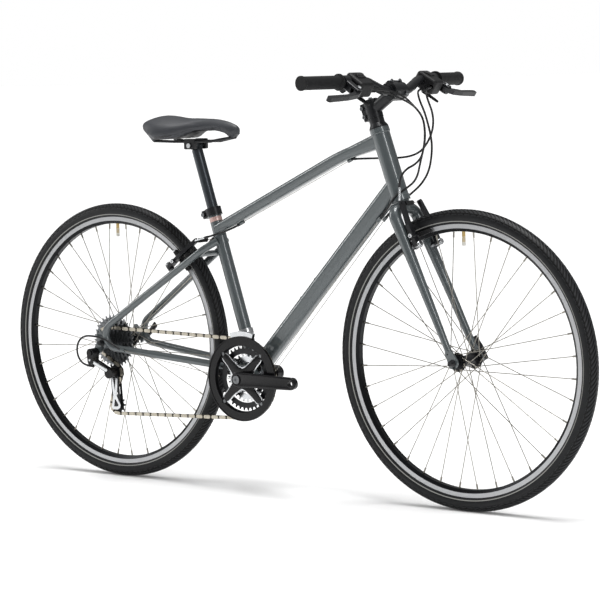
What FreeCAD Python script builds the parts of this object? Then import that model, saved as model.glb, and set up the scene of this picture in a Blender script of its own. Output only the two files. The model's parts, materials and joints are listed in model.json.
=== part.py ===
import FreeCAD, Part
import math
import os
import re
from types import SimpleNamespace

import Sketcher
from FreeCAD import Placement, Rotation, Vector

# A hybrid bicycle with 700C wheels, a triple crankset, eight rear sprockets and V-brakes.
# Lengths are millimetres and angles degrees. X points forward, Y to the rider's left and Z up,
# and the origin lies on the ground halfway between the two tyre contacts.
SIZES = {
    # layout of the frame
    "wheel_base": 1060, "bb_drop": 69, "chain_stay": 450, "seat_angle": 72.7, "head_angle": 71,
    "fork_offset": 45, "fork_length": 398, "lower_stack": 4, "head_tube_length": 179,
    "seat_tube_length": 428,
    # fits
    "running_gap": 0.08, "seat_gap": 0.05, "air_gap": 0.4, "overrun": 2,
    # main tubes
    "head_tube_radius": 22, "head_tube_bore": 18.5, "head_collar": 1.6, "head_collar_height": 12,
    "seat_tube_radius": 15.9, "tube_wall": 1.8,
    "top_tube_width": 34, "top_tube_height": 27, "top_tube_front_width": 37, "top_tube_front_height": 38,
    "top_tube_corner": 11, "top_tube_seat_height": 376, "top_tube_below_head": 27,
    "top_tube_bend_from_head": 128, "top_tube_front_angle": 18.3, "top_tube_bend_radius": 600,
    "down_tube_width": 38, "down_tube_height": 42, "down_tube_corner": 14,
    "down_tube_head_height": 40, "down_tube_bb_rise": 14,
    "bb_shell_radius": 20, "bb_shell_length": 68, "bb_bore": 17.1,
    # rear stays
    "stay_radius": 9, "stay_bend_radius": 90, "stay_loop_radius": 34, "chain_stay_rise": 16,
    "chain_stay_root_half_width": 20, "chain_stay_bend_run": 90,
    "chain_stay_bend_half_width": 34, "loop_corner_back": 48, "loop_corner_drop": 3,
    "loop_corner_half_width": 81, "seat_stay_height": 347, "seat_stay_root_half_width": 15,
    "seat_stay_bend_run": 32, "seat_stay_bend_drop": 22, "seat_stay_bend_half_width": 38,
    "bridge_radius": 7, "bridge_tyre_gap": 21,
    "rear_hub_width": 135, "dropout_thickness": 6, "dropout_radius": 16, "hanger_back": 22,
    "hanger_drop": 25, "hanger_radius": 10, "hanger_bolt_radius": 4.5, "eyelet_radius": 6.5,
    "eyelet_bore": 2.1, "rear_eyelet_back": 12, "rear_eyelet_rise": 27,
    # fork
    "steerer_radius": 14.3, "steerer_bore": 12, "crown_height": 380, "crown_radius": 20,
    "blade_top_radius": 14.5, "blade_tip_radius": 8, "blade_wall": 1.6, "crown_bend_radius": 26,
    "blade_top_half_width": 44, "blade_tip_half_width": 53, "blade_end_above_axle": 30,
    "front_hub_width": 100, "fork_tip_thickness": 6, "fork_tip_radius": 13,
    "front_eyelet_back": 14, "front_eyelet_rise": 20,
    # headset and stem
    "bearing_height": 8, "cover_height": 13, "cover_radius": 23, "spacer_height": 12, "spacer_radius": 18,
    "stem_height": 42, "stem_radius": 19, "top_cap_height": 4, "top_cap_radius": 17.5,
    "stem_reach": 75, "stem_rise": 21, "stem_arm_radius": 15, "bar_clamp_radius": 20,
    "bar_clamp_width": 48, "faceplate_gap": 3, "stem_bolt_radius": 2.5, "stem_bolt_head": 4.6,
    "stem_bolt_head_height": 5, "faceplate_bolt_spacing": 32, "faceplate_bolt_height": 13.5,
    # handlebar and grips
    "bar_radius": 11.1, "bar_centre_radius": 12.7, "bar_centre_width": 62, "bar_wall": 2,
    "bar_half_width": 310, "bar_bend_inner": 48, "bar_bend_outer": 105, "bar_rise": 23, "bar_sweep": 7.8,
    "bar_bend_radius": 55, "grip_length": 120, "grip_radius": 15.5, "grip_flange_radius": 19.5,
    "grip_flange_width": 4, "grip_cap": 4, "grip_cap_radius": 17,
    # hand controls, measured along the bar from its outer bend and across from its axis
    "lever_droop": 32, "bracket_out": 70, "bracket_width": 18, "bracket_radius": 15.5,
    "bracket_height": 22, "lever_pivot_reach": 42, "lever_thickness": 11, "lever_pin_radius": 3,
    "lever_root_radius": 9, "lever_blade_radius": 6, "lever_tip_out": 183, "lever_tip_reach": 68,
    "barrel_radius": 5, "barrel_length": 16, "pod_inner": 10, "pod_width": 47, "pod_back": 17,
    "pod_front": 40,
    "pod_top": 18, "pod_bottom": 20, "pod_round": 8, "window_length": 22, "window_width": 13,
    "window_height": 2, "thumb_pivot_out": 34, "thumb_pivot_reach": 16, "thumb_thickness": 3.6,
    "thumb_root_radius": 11, "thumb_arm_radius": 6, "thumb_back": 16, "thumb_out": 8, "paddle_radius": 10,
    "paddle_thickness": 4, "trigger_root_radius": 9, "trigger_tip_radius": 5, "trigger_reach": 54,
    "trigger_in": 4,
    # seatpost and saddle
    "post_radius": 13.6, "post_top": 580, "post_length": 300, "post_bore": 11.4, "post_head_rise": 13,
    "post_head_radius": 10, "post_head_half_width": 17, "seat_clamp_height": 20, "seat_clamp_radius": 20,
    "seat_clamp_lip": 3, "clamp_lug_length": 10, "clamp_lug_width": 20, "clamp_bolt_radius": 3,
    "clamp_bolt_head": 5, "clamp_slit": 3,
    "clamp_bolt_head_height": 6,
    "saddle_length": 276, "saddle_half_width": 81, "saddle_height": 54, "saddle_back": 137,
    "saddle_base_rise": 21, "saddle_nose_rise": 8, "shell_thickness": 5, "rail_radius": 3.5,
    "rail_half_gap": 22,
    "rail_rise": 10, "rail_bend_radius": 25, "clamp_block_length": 34, "clamp_block_width": 9,
    "clamp_block_height": 26, "saddle_bolt_radius": 3.2, "saddle_bolt_head": 6, "saddle_bolt_head_height": 4,
    # wheels
    "tyre_radius": 350, "tyre_section": 19, "tyre_wall": 2.6, "rim_radius": 317, "rim_half_width": 12,
    "rim_track": 11, "rim_depth": 18, "rim_bed_half_width": 7, "rim_wall": 1.8, "bead_radius": 309,
    "tube_section": 12.5, "valve_radius": 4, "valve_length": 46, "spoke_pairs": 18, "spoke_radius": 1,
    "spoke_head_radius": 1.9, "spoke_head_height": 1.1, "nipple_radius": 2.1, "nipple_length": 13,
    "spoke_cross": 60, "spoke_turn": 5, "spoke_lift": 1.4, "rim_spoke_half_gap": 1.5,
    "flange_radius": 22, "flange_hole_radius": 19,
    "flange_thickness": 3.2, "front_flange_half_gap": 34, "hub_barrel_radius": 13, "hub_end_radius": 16,
    "front_hub_half_width": 41, "rear_flange_left": 34, "rear_flange_right": 19, "rear_barrel_radius": 17,
    "rear_hub_left": 52, "rear_hub_right": 22.5, "rear_flange_radius": 24, "rear_flange_hole_radius": 21,
    "axle_radius": 4.9, "axle_bore": 2.7, "axle_stub": 5, "cone_radius": 8.5, "skewer_radius": 2.4,
    "skewer_nut_radius": 9,
    "skewer_nut_height": 13, "skewer_nut_tip": 5.5, "qr_body_radius": 9, "qr_body_height": 13,
    "qr_lever_length": 52, "qr_lever_radius": 6.5, "qr_lever_thickness": 5, "qr_pin_radius": 3,
    # drivetrain
    "chain_pitch": 12.7, "chain_half_gap": 1.25, "chain_plate": 0.8, "chain_plate_gap": 0.3,
    "chain_plate_radius": 4.2, "chain_pin_radius": 1.75, "chain_roller_radius": 3.7, "tooth_thickness": 1.8,
    "tooth_tip": 2.8, "cog_pitch": 4.8, "first_cog_from_end": 6.5, "freehub_radius": 17,
    "cog_bore": 17.2, "lockring_radius": 12, "lockring_height": 2.2,
    "big_ring_line": 56, "ring_pitch": 7.5, "ring_band": 17, "crank_length": 170,
    "guard_radius": 104, "guard_band": 21, "guard_thickness": 2.6, "guard_offset": 5.6, "guard_rim": 1.4,
    "spider_thickness": 3.4, "spider_root_radius": 13, "spider_tip_radius": 8, "spider_reach": 84,
    "rivet_radius": 3, "rivet_head_radius": 4.4,
    "crank_boss_radius": 17.5, "crank_boss_inner": 59, "crank_boss_outer": 82, "crank_arm_width": 30,
    "crank_arm_depth": 15, "crank_tip_width": 24, "crank_tip_depth": 12, "pedal_line": 85,
    "pedal_boss_radius": 14.5, "pedal_boss_length": 14, "pedal_bore": 7.14, "spindle_radius": 8.4,
    "spindle_end_radius": 7, "spindle_half_length": 78, "crank_bolt_radius": 10, "crank_bolt_height": 4,
    "guide_drop": 78, "guide_forward": 18, "tension_drop": 160, "tension_forward": 24,
    "pulley_bore": 2.6, "pulley_pin_radius": 2.5, "cage_half_gap": 4.3, "cage_plate": 1.5, "cage_radius": 13,
    "mech_knuckle_radius": 11, "mech_knuckle_length": 24, "mech_link_radius": 6, "mech_link_thickness": 5,
    "mech_drop": 22, "p_knuckle_radius": 13, "p_knuckle_length": 22, "mech_bolt_head": 7,
    "mech_bolt_head_height": 3,
    "front_mech_height": 112, "front_mech_band": 14, "front_mech_wall": 3, "cage_reach": 13,
    "front_cage_depth": 24,
    "front_cage_half_gap": 4, "front_cage_plate": 1.2, "front_cage_start": 72, "front_cage_end": 108,
    # V-brakes
    "boss_radius": 285, "boss_half_gap": 42, "stud_radius": 4, "stud_base_radius": 6.5, "stud_length": 16.5,
    "stud_base_length": 4, "arm_length": 105, "arm_top_half_gap": 36, "arm_hub_radius": 8.5,
    "arm_top_radius": 5.5,
    "arm_hub_length": 16, "arm_thickness": 9, "pad_length": 66, "pad_height": 9, "pad_thickness": 9,
    "pad_drop": 1.5, "pad_rim_gap": 1.6, "pad_stud_radius": 3, "arm_bolt_radius": 6.5, "arm_bolt_height": 3,
    "noodle_radius": 2.4, "noodle_bend_radius": 11, "noodle_rise": 34,
    "noodle_lean": 16, "boot_radius": 5.5, "boot_bore": 3.2, "brake_wire_radius": 0.8,
    # cables
    "housing_radius": 2.5, "wire_radius": 0.7, "stop_radius": 4, "stop_length": 12, "wire_bend_radius": 26,
    "bottle_bolt_head": 4.5, "bottle_bolt_head_height": 3, "bottle_bolt_spacing": 64,
    "adjuster_length": 10, "adjuster_reach": 24, "cable_lead": 35,
}
RING_TEETH = (48, 38, 28)
COG_TEETH = (11, 13, 15, 18, 21, 24, 28, 32)
CHAIN_COG = 3
PULLEY_TEETH = 11
SPIDER_ANGLES = (45, 135, 225, 315)

doc = FreeCAD.newDocument("hybrid_bicycle")
sheet = doc.addObject("Spreadsheet::Sheet", "Sizes")
for row, (alias, number) in enumerate(SIZES.items(), 1):
    sheet.set(f"A{row}", alias)
    sheet.set(f"B{row}", str(number))
    sheet.setAlias(f"B{row}", alias)
doc.recompute()
size = SimpleNamespace(**{alias: float(sheet.get(alias)) for alias in SIZES})
PARTS = []

X_AXIS, Y_AXIS, Z_AXIS = Vector(1, 0, 0), Vector(0, 1, 0), Vector(0, 0, 1)


# Document helpers

def bound(text):
    """Turn a formula of size names into an expression on the sheet."""
    return re.sub(r"[a-z_]\w*", lambda word: "Sizes." + word[0] if word[0] in SIZES else word[0], text)


def value(text):
    return float(sheet.evalExpression(bound(text)))


def bind(thing, **formulas):
    for name, text in formulas.items():
        thing.setExpression(name, bound(text))
    return thing


def along(base, direction):
    return Placement(base, Rotation(Z_AXIS, direction))


def cylinder(name, radius, height, base, direction):
    thing = bind(doc.addObject("Part::Cylinder", name), Radius=radius, Height=height)
    thing.Placement = along(base, direction)
    return thing


def cone(name, radius1, radius2, height, base, direction):
    thing = bind(doc.addObject("Part::Cone", name), Radius1=radius1, Radius2=radius2, Height=height)
    thing.Placement = along(base, direction)
    return thing


def cut(name, base, *tools):
    tool = tools[0] if len(tools) == 1 else fuse(name + "_tools", *tools)
    thing = doc.addObject("Part::Cut", name)
    thing.Base, thing.Tool = base, tool
    return thing


def fuse(name, *things):
    thing = doc.addObject("Part::MultiFuse", name)
    thing.Shapes = list(things)
    thing.Refine = True
    return thing


def mirrored(name, source):
    thing = doc.addObject("Part::Mirroring", name)
    thing.Source = source
    thing.Normal = Y_AXIS
    return thing


def solid(name, shape):
    """A solid whose shape is worked out here from the sheet's sizes."""
    thing = doc.addObject("Part::Feature", name)
    thing.Shape = shape
    return thing


def part(label, *things):
    """Name a finished sub-part: one object, or a group of separate solids."""
    thing = things[0]
    if len(things) > 1:
        thing = doc.addObject("Part::Compound", label)
        thing.Links = list(things)
    thing.Label = label
    PARTS.append(thing)
    return thing


def origin_plane(body, role):
    return next(feature for feature in body.Origin.OriginFeatures if feature.Role == role)


def outline_sketch(body, role, outline):
    """A closed polygon whose every corner is held by two bound distances from the origin."""
    sketch = body.newObject("Sketcher::SketchObject", body.Name + "_outline")
    sketch.AttachmentSupport = [(origin_plane(body, role), "")]
    sketch.MapMode = "FlatFace"
    corners = [Vector(value(across), value(up), 0) for across, up in outline]
    count = len(corners)
    sketch.addGeometry([Part.LineSegment(corners[i], corners[(i + 1) % count]) for i in range(count)])
    sketch.addConstraint([Sketcher.Constraint("Coincident", i, 2, (i + 1) % count, 1)
                          for i in range(count)])
    for i, formulas in enumerate(outline):
        for kind, text, place in zip(("DistanceX", "DistanceY"), formulas, corners[i]):
            index = sketch.addConstraint(Sketcher.Constraint(kind, -1, 1, i, 1, place))
            sketch.setExpression(f"Constraints[{index}]", bound(text))
    return sketch


def turned(name, outline, place):
    """A body turned about its Z axis from an outline of (radius, height) corners."""
    body = doc.addObject("PartDesign::Body", name)
    turn = body.newObject("PartDesign::Revolution", name + "_turn")
    turn.Profile = sketch = outline_sketch(body, "XZ_Plane", outline)
    turn.ReferenceAxis = (sketch, ["V_Axis"])
    turn.Angle = 360
    body.Placement = place
    return body


def ring(name, outer, inner, height, base, direction):
    return turned(name, [(outer, "0"), (outer, height), (inner, height), (inner, "0")],
                  along(base, direction))


# Shape helpers

def unit(vector):
    return Vector(vector).normalize()


def rod(start, end, radius):
    return Part.makeCylinder(radius, (end - start).Length, start, end - start)


def taper(start, end, radius1, radius2):
    return Part.makeCone(radius1, radius2, (end - start).Length, start, end - start)


def block(corner, length, width, height):
    return Part.makeBox(length, width, height, corner)


def widest_bend(before, corner, after, reach_share=0.45):
    """Radius of the largest arc that rounds a corner within a share of its shorter run."""
    half_turn = (math.pi - (before - corner).getAngle(after - corner)) / 2
    return reach_share * min((before - corner).Length, (after - corner).Length) / math.tan(half_turn)


def bent_path(points, bend=None, reach_share=0.45):
    """Straight runs joined by tangent arcs, of one radius or as large as the runs allow."""
    edges, start = [], points[0]
    for before, corner, after in zip(points, points[1:], points[2:]):
        back, ahead = unit(before - corner), unit(after - corner)
        half_turn = (math.pi - back.getAngle(ahead)) / 2
        radius = bend or widest_bend(before, corner, after, reach_share)
        reach = radius * math.tan(half_turn)
        enter, leave = corner + back * reach, corner + ahead * reach
        middle = corner + unit(back + ahead) * (radius / math.cos(half_turn) - radius)
        edges.append(Part.LineSegment(start, enter).toShape())
        edges.append(Part.Arc(enter, middle, leave).toShape())
        start = leave
    edges.append(Part.LineSegment(start, points[-1]).toShape())
    return Part.Wire(edges)


def pipe(points, radius, bend=None):
    path = bent_path(points, bend)
    mouth = Part.Wire(Part.makeCircle(radius, points[0], points[1] - points[0]))
    return path.makePipeShell([mouth], True, False)


def strap(circles, depth):
    """Plate around circles joined by their tangents; depth is the vector of its thickness."""
    normal, pieces = unit(depth), []
    for (first, radius1), (second, radius2) in zip(circles, circles[1:]):
        ahead = unit(second - first)
        side = normal.cross(ahead)
        lean = (radius1 - radius2) / (second - first).Length
        rise = math.sqrt(1 - lean * lean)
        left, right = ahead * lean + side * rise, ahead * lean - side * rise
        edges = [Part.LineSegment(first + left * radius1, second + left * radius2).toShape(),
                 Part.Arc(second + left * radius2, second + ahead * radius2,
                          second + right * radius2).toShape(),
                 Part.LineSegment(second + right * radius2, first + right * radius1).toShape(),
                 Part.Arc(first + right * radius1, first - ahead * radius1,
                          first + left * radius1).toShape()]
        pieces.append(Part.Face(Part.Wire(edges)).extrude(depth))
    return joined(pieces)


def joined(pieces):
    return pieces[0].fuse(pieces[1:]).removeSplitter() if len(pieces) > 1 else pieces[0]


def flipped(shape):
    """The same piece on the other side of the bicycle's middle plane."""
    return shape.mirror(Vector(), Y_AXIS)


def rounded_section(centre, across, up, width, height, corner):
    """Closed wire: a rectangle with round corners, around a tube's axis."""
    half_width, half_height = width / 2, height / 2
    quarter = math.sqrt(0.5)
    edges = []
    for a, b in ((1, 1), (-1, 1), (-1, -1), (1, -1)):
        core = centre + across * (a * (half_width - corner)) + up * (b * (half_height - corner))
        first = core + (across * a if a * b > 0 else up * b) * corner
        last = core + (up * b if a * b > 0 else across * a) * corner
        edges.append(Part.Arc(first, core + (across * a + up * b) * corner * quarter, last).toShape())
    lines = [Part.LineSegment(edges[i].Vertexes[-1].Point, edges[(i + 1) % 4].Vertexes[0].Point).toShape()
             for i in range(4)]
    return Part.Wire([edge for pair in zip(edges, lines) for edge in pair])


def toothed(teeth, thickness, bore):
    """Sprocket about the Y axis, centred on the middle of its thickness."""
    pitch_radius = size.chain_pitch / 2 / math.sin(math.pi / teeth)
    root, tip = pitch_radius - size.chain_roller_radius, pitch_radius + size.tooth_tip
    flank_shares = ((root, -0.27), (tip, -0.09), (tip, 0.09), (root, 0.27))
    corners = []
    for tooth in range(teeth):
        for radius, share in flank_shares:
            turn = 2 * math.pi * (tooth + share) / teeth
            corners.append(Vector(radius * math.cos(turn), -thickness / 2, radius * math.sin(turn)))
    face = Part.Face(Part.makePolygon(corners + corners[:1]))
    blank = face.extrude(Y_AXIS * thickness)
    return blank.cut(rod(Y_AXIS * -thickness, Y_AXIS * thickness, bore))


# Points of the layout

rear_axle = Vector(-size.wheel_base / 2, 0, size.tyre_radius)
front_axle = Vector(size.wheel_base / 2, 0, size.tyre_radius)
bb = rear_axle + Vector(math.sqrt(size.chain_stay ** 2 - size.bb_drop ** 2), 0, -size.bb_drop)
seat_turn, head_turn = math.radians(size.seat_angle), math.radians(size.head_angle)
seat_up = Vector(-math.cos(seat_turn), 0, math.sin(seat_turn))
steer_up = Vector(-math.cos(head_turn), 0, math.sin(head_turn))
steer_ahead = Vector(math.sin(head_turn), 0, math.cos(head_turn))
steer_foot = front_axle - steer_ahead * size.fork_offset
head_bottom = size.fork_length + size.lower_stack
head_top = head_bottom + size.head_tube_length
stem_bottom = head_top + size.cover_height + size.spacer_height + 2 * size.air_gap
stem_top = stem_bottom + size.stem_height


def steer_at(height, ahead=0.0, left=0.0):
    return steer_foot + steer_up * height + steer_ahead * ahead + Y_AXIS * left


def steer_share(height_share, ahead_share, left_share):
    """Point near the head tube, in shares of its length from its lower end."""
    length = size.head_tube_length
    return steer_at(head_bottom + length * height_share, length * ahead_share, length * left_share)


def seat_at(height):
    return bb + seat_up * height


def on_side(point, half_width):
    """The same place, moved out to the drive side."""
    return Vector(point.x, -half_width, point.z)


def reach_point(start, end, centre, distance):
    """First point of a line that lies at a distance from a wheel's centre, seen from the side."""
    step, back = end - start, start - centre
    flat_step, flat_back = Vector(step.x, 0, step.z), Vector(back.x, 0, back.z)
    half, whole = flat_step.dot(flat_back), flat_step.dot(flat_step)
    root = math.sqrt(half * half - whole * (flat_back.dot(flat_back) - distance * distance))
    return start + step * ((-half - root) / whole)


# Frame

top_tube_seat = seat_at(size.top_tube_seat_height)
top_tube_head = steer_at(head_top - size.top_tube_below_head)
front_slope = math.radians(size.top_tube_front_angle)
top_tube_corner = top_tube_head - Vector(math.cos(front_slope), 0,
                                         math.sin(front_slope)) * size.top_tube_bend_from_head
down_tube_head = steer_at(head_bottom + size.down_tube_head_height)
down_tube_bb = bb + Z_AXIS * size.down_tube_bb_rise
top_tube_ahead = unit(top_tube_corner - top_tube_seat)
down_tube_ahead = unit(down_tube_head - down_tube_bb)
down_tube_under = Y_AXIS.cross(down_tube_ahead)

loop_corner = on_side(rear_axle + Vector(-size.loop_corner_back, 0, -size.loop_corner_drop),
                      size.loop_corner_half_width)
chain_stay_root = on_side(bb + Z_AXIS * size.chain_stay_rise, size.chain_stay_root_half_width)
chain_stay_flat = unit(Vector(loop_corner.x - chain_stay_root.x, 0, loop_corner.z - chain_stay_root.z))
chain_stay_bend = on_side(chain_stay_root + chain_stay_flat * size.chain_stay_bend_run,
                          size.chain_stay_bend_half_width)
seat_stay_root = on_side(seat_at(size.seat_stay_height), size.seat_stay_root_half_width)
seat_stay_bend = on_side(seat_stay_root - Vector(size.seat_stay_bend_run, 0, size.seat_stay_bend_drop),
                         size.seat_stay_bend_half_width)
rear_boss = reach_point(seat_stay_bend, loop_corner, rear_axle, size.boss_radius)


def stay_path():
    """The chain stay, the loop around the dropout and the seat stay as one bent tube."""
    bends = [(chain_stay_bend, size.stay_bend_radius), (loop_corner, size.stay_loop_radius),
             (seat_stay_bend, size.stay_bend_radius)]
    points = [chain_stay_root] + [point for point, radius in bends] + [seat_stay_root]
    edges, start = [], points[0]
    for (corner, radius), before, after in zip(bends, points, points[2:]):
        wire = bent_path([before, corner, after], radius)
        straight, arc = wire.OrderedEdges[:2]
        edges += [Part.LineSegment(start, arc.Vertexes[0].Point).toShape(), arc]
        start = wire.OrderedVertexes[2].Point
    return Part.Wire(edges + [Part.LineSegment(start, points[-1]).toShape()])


def stay_tube(radius):
    path = stay_path()
    mouth = Part.Wire(Part.makeCircle(radius, chain_stay_root, chain_stay_bend - chain_stay_root))
    return path.makePipeShell([mouth], True, False)


def loop_apex():
    back, ahead = unit(chain_stay_bend - loop_corner), unit(seat_stay_bend - loop_corner)
    half_turn = (math.pi - back.getAngle(ahead)) / 2
    return loop_corner + unit(back + ahead) * size.stay_loop_radius * (1 / math.cos(half_turn) - 1)


def top_tube_shape(thinner):
    """Tube with a raised front end: a bent run, then a loft up to the head tube."""
    path = bent_path([top_tube_seat, top_tube_corner, top_tube_head], size.top_tube_bend_radius)
    joint = path.OrderedVertexes[2].Point
    front = unit(top_tube_head - joint)
    corner = size.top_tube_corner - thinner
    narrow = (size.top_tube_width - 2 * thinner, size.top_tube_height - 2 * thinner, corner)
    wide = (size.top_tube_front_width - 2 * thinner, size.top_tube_front_height - 2 * thinner, corner)
    mouth = rounded_section(top_tube_seat, Y_AXIS, top_tube_ahead.cross(Y_AXIS), *narrow)
    rear = Part.Wire(path.OrderedEdges[:2]).makePipeShell([mouth], True, False)
    up = front.cross(Y_AXIS)
    low, high = rounded_section(joint, Y_AXIS, up, *narrow), rounded_section(top_tube_head, Y_AXIS, up,
                                                                             *wide)
    return rear.fuse(Part.makeLoft([low, high], True, True)).removeSplitter()


def down_tube_shape(thinner):
    up = down_tube_ahead.cross(Y_AXIS)
    corner = size.down_tube_corner - thinner
    section = (size.down_tube_width - 2 * thinner, size.down_tube_height - 2 * thinner, corner)
    mouth = rounded_section(down_tube_bb, Y_AXIS, up, *section)
    return Part.Face(mouth).extrude(down_tube_head - down_tube_bb)


def cable_stop(seat, direction):
    middle = direction * size.stop_length / 2
    return rod(seat - middle, seat + middle, size.stop_radius)


def dropout_plate(with_hanger):
    """Rear axle plate on the drive side, with its slot, rack eyelet and, on that side only, mech hanger."""
    face = -size.rear_hub_width / 2
    depth = Y_AXIS * -size.dropout_thickness
    axle = Vector(rear_axle.x, face, rear_axle.z)
    apex = loop_apex()
    neck = Vector(apex.x, face, apex.z)
    eyelet = axle + Vector(-size.rear_eyelet_back, 0, size.rear_eyelet_rise)
    hanger = axle + Vector(-size.hanger_back, 0, -size.hanger_drop)
    pieces = [strap([(neck, size.stay_radius), (axle, size.dropout_radius)], depth),
              strap([(axle, size.dropout_radius), (eyelet, size.eyelet_radius)], depth)]
    drop = Vector(0, 0, -2 * size.dropout_radius)
    slot_radius = size.axle_radius + size.seat_gap
    holes = [strap([(axle, slot_radius), (axle + drop, slot_radius)], depth),
             rod(eyelet, eyelet + depth, size.eyelet_bore)]
    if with_hanger:
        pieces.append(strap([(axle, size.dropout_radius), (hanger, size.hanger_radius)], depth))
        holes.append(rod(hanger, hanger + depth, size.hanger_bolt_radius + size.seat_gap))
    return joined(pieces).cut(holes)


def brake_stud(boss, axis, clear):
    """Brake pivot: a wide base on the tube and a stud that carries the arm."""
    base_end = boss + axis * (clear + size.stud_base_length)
    return rod(boss, base_end, size.stud_base_radius).fuse(
        rod(base_end, base_end + axis * size.stud_length, size.stud_radius)).removeSplitter()


rear_brake_up = unit(Vector(rear_boss.x - rear_axle.x, 0, rear_boss.z - rear_axle.z))
rear_brake_axis = rear_brake_up.cross(Y_AXIS)


def frame_part():
    head_low, bb_right = steer_at(head_bottom), bb - Y_AXIS * size.bb_shell_length / 2
    full = [("head_tube_radius + head_collar", "0"),
            ("head_tube_radius + head_collar", "head_collar_height"),
            ("head_tube_radius", "head_collar_height + head_collar"),
            ("head_tube_radius", "head_tube_length - head_collar_height - head_collar"),
            ("head_tube_radius + head_collar", "head_tube_length - head_collar_height"),
            ("head_tube_radius + head_collar", "head_tube_length")]
    bore = [("head_tube_bore", "head_tube_length"), ("head_tube_bore", "0")]
    head_tube = turned("head_tube", full + bore, along(head_low, steer_up))
    bb_shell = ring("bb_shell", "bb_shell_radius", "bb_bore", "bb_shell_length", bb_right, Y_AXIS)
    bb_full = cylinder("bb_full", "bb_shell_radius", "bb_shell_length", bb_right, Y_AXIS)
    seat_blank = ring("seat_blank", "seat_tube_radius", "post_radius + running_gap", "seat_tube_length",
                      bb, seat_up)
    seat_tube = cut("seat_tube", seat_blank, bb_full)
    doc.recompute()
    head_full = rod(head_low, steer_at(head_top),
                    size.head_tube_radius).fuse(head_tube.Shape).removeSplitter()
    seat_full = rod(bb, seat_at(size.seat_tube_length), size.seat_tube_radius)
    taken = [head_full, seat_full, bb_full.Shape]
    top_tube = top_tube_shape(0).cut(top_tube_shape(size.tube_wall)).cut(taken)
    down_tube = down_tube_shape(0).cut(down_tube_shape(size.tube_wall)).cut(taken)
    stay_full = stay_tube(size.stay_radius)
    right_stay = stay_full.cut(stay_tube(size.stay_radius - size.tube_wall)).cut(taken
                                                                                 + [down_tube_shape(0)])
    reach = size.tyre_radius + size.bridge_tyre_gap
    bridges = []
    for start, end in ((seat_stay_bend, loop_corner), (chain_stay_root, chain_stay_bend)):
        right = reach_point(start, end, rear_axle, reach)
        bridges.append(rod(right, Vector(right.x, -right.y, right.z),
                           size.bridge_radius).cut([stay_full, flipped(stay_full)]))
    stud = brake_stud(on_side(rear_boss, size.boss_half_gap), rear_brake_axis,
                      size.stay_radius).cut(stay_full)
    right_dropout = dropout_plate(True).cut(stay_full)
    left_dropout = flipped(dropout_plate(False).cut(stay_full))
    main_tubes = [top_tube_shape(0), down_tube_shape(0), stay_full, flipped(stay_full)]
    stops = [stop.cut(main_tubes) for stop in cable_stops()]
    shapes = [top_tube, down_tube, right_stay, flipped(right_stay), right_dropout, left_dropout, *bridges,
              stud, flipped(stud), *stops]
    welded = [solid("welded_piece", largest(shape)) for shape in shapes]
    part("frame", head_tube, seat_tube, bb_shell, *welded)


def largest(shape):
    return max(shape.Solids, key=lambda piece: piece.Volume)


top_stop_front_share, top_stop_rear_share = 0.16, 0.18
down_stop_share, chain_stay_stop_share = 0.86, 0.70
stop_sink_share = 0.75


def under_top_tube(start, end, share):
    """Place of a cable stop under the top tube, at a share of one of its straight runs."""
    run = start + (end - start) * share
    return run - top_tube_ahead.cross(Y_AXIS) * (size.top_tube_height / 2
                                                 + size.stop_radius * stop_sink_share)


def under_down_tube(share, left):
    run = down_tube_bb + (down_tube_head - down_tube_bb) * share
    return run + down_tube_under * (size.down_tube_height / 2
                                    + size.stop_radius * stop_sink_share) + Y_AXIS * left


def outside_chain_stay(share):
    run = chain_stay_bend + (loop_corner - chain_stay_bend) * share
    return run - Y_AXIS * (size.stay_radius + size.stop_radius * stop_sink_share)


wire_line = size.down_tube_width / 2 - size.down_tube_corner / 2
top_stop_front = under_top_tube(top_tube_corner, top_tube_head, top_stop_front_share)
top_stop_rear = under_top_tube(top_tube_seat, top_tube_corner, top_stop_rear_share)
down_stop_right, down_stop_left = under_down_tube(down_stop_share,
                                                  -wire_line), under_down_tube(down_stop_share, wire_line)
chain_stay_stop = outside_chain_stay(chain_stay_stop_share)


def cable_stops():
    stay_ahead = unit(loop_corner - chain_stay_bend)
    return [cable_stop(top_stop_front, top_tube_ahead), cable_stop(top_stop_rear, top_tube_ahead),
            cable_stop(down_stop_right, down_tube_ahead), cable_stop(down_stop_left, down_tube_ahead),
            cable_stop(chain_stay_stop, stay_ahead)]


frame_part()


# Fork

crown_corner = steer_at(size.crown_height, 0, -size.blade_top_half_width)
fork_tip = on_side(front_axle, size.blade_tip_half_width)
blade_up = unit(crown_corner - fork_tip)
blade_end = fork_tip + blade_up * size.blade_end_above_axle
front_boss = reach_point(crown_corner, fork_tip, front_axle, size.boss_radius)
front_brake_up = unit(Vector(front_boss.x - front_axle.x, 0, front_boss.z - front_axle.z))
front_brake_axis = Y_AXIS.cross(front_brake_up)


def fork_tip_plate():
    """Drive-side axle plate of the fork, with its open slot and mudguard eyelet."""
    face, depth = -size.front_hub_width / 2, Y_AXIS * -size.fork_tip_thickness
    axle, end = Vector(front_axle.x, face, front_axle.z), Vector(blade_end.x, face, blade_end.z)
    eyelet = axle + Vector(-size.front_eyelet_back, 0, size.front_eyelet_rise)
    slot_radius = size.axle_radius + size.seat_gap
    slot = strap([(axle, slot_radius), (axle - blade_up * 2 * size.fork_tip_radius, slot_radius)], depth)
    blank = joined([strap([(end, size.blade_tip_radius), (axle, size.fork_tip_radius)], depth),
                    strap([(end, size.blade_tip_radius), (eyelet, size.eyelet_radius)], depth)])
    return blank.cut([slot, rod(eyelet, eyelet + depth, size.eyelet_bore)])


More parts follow.
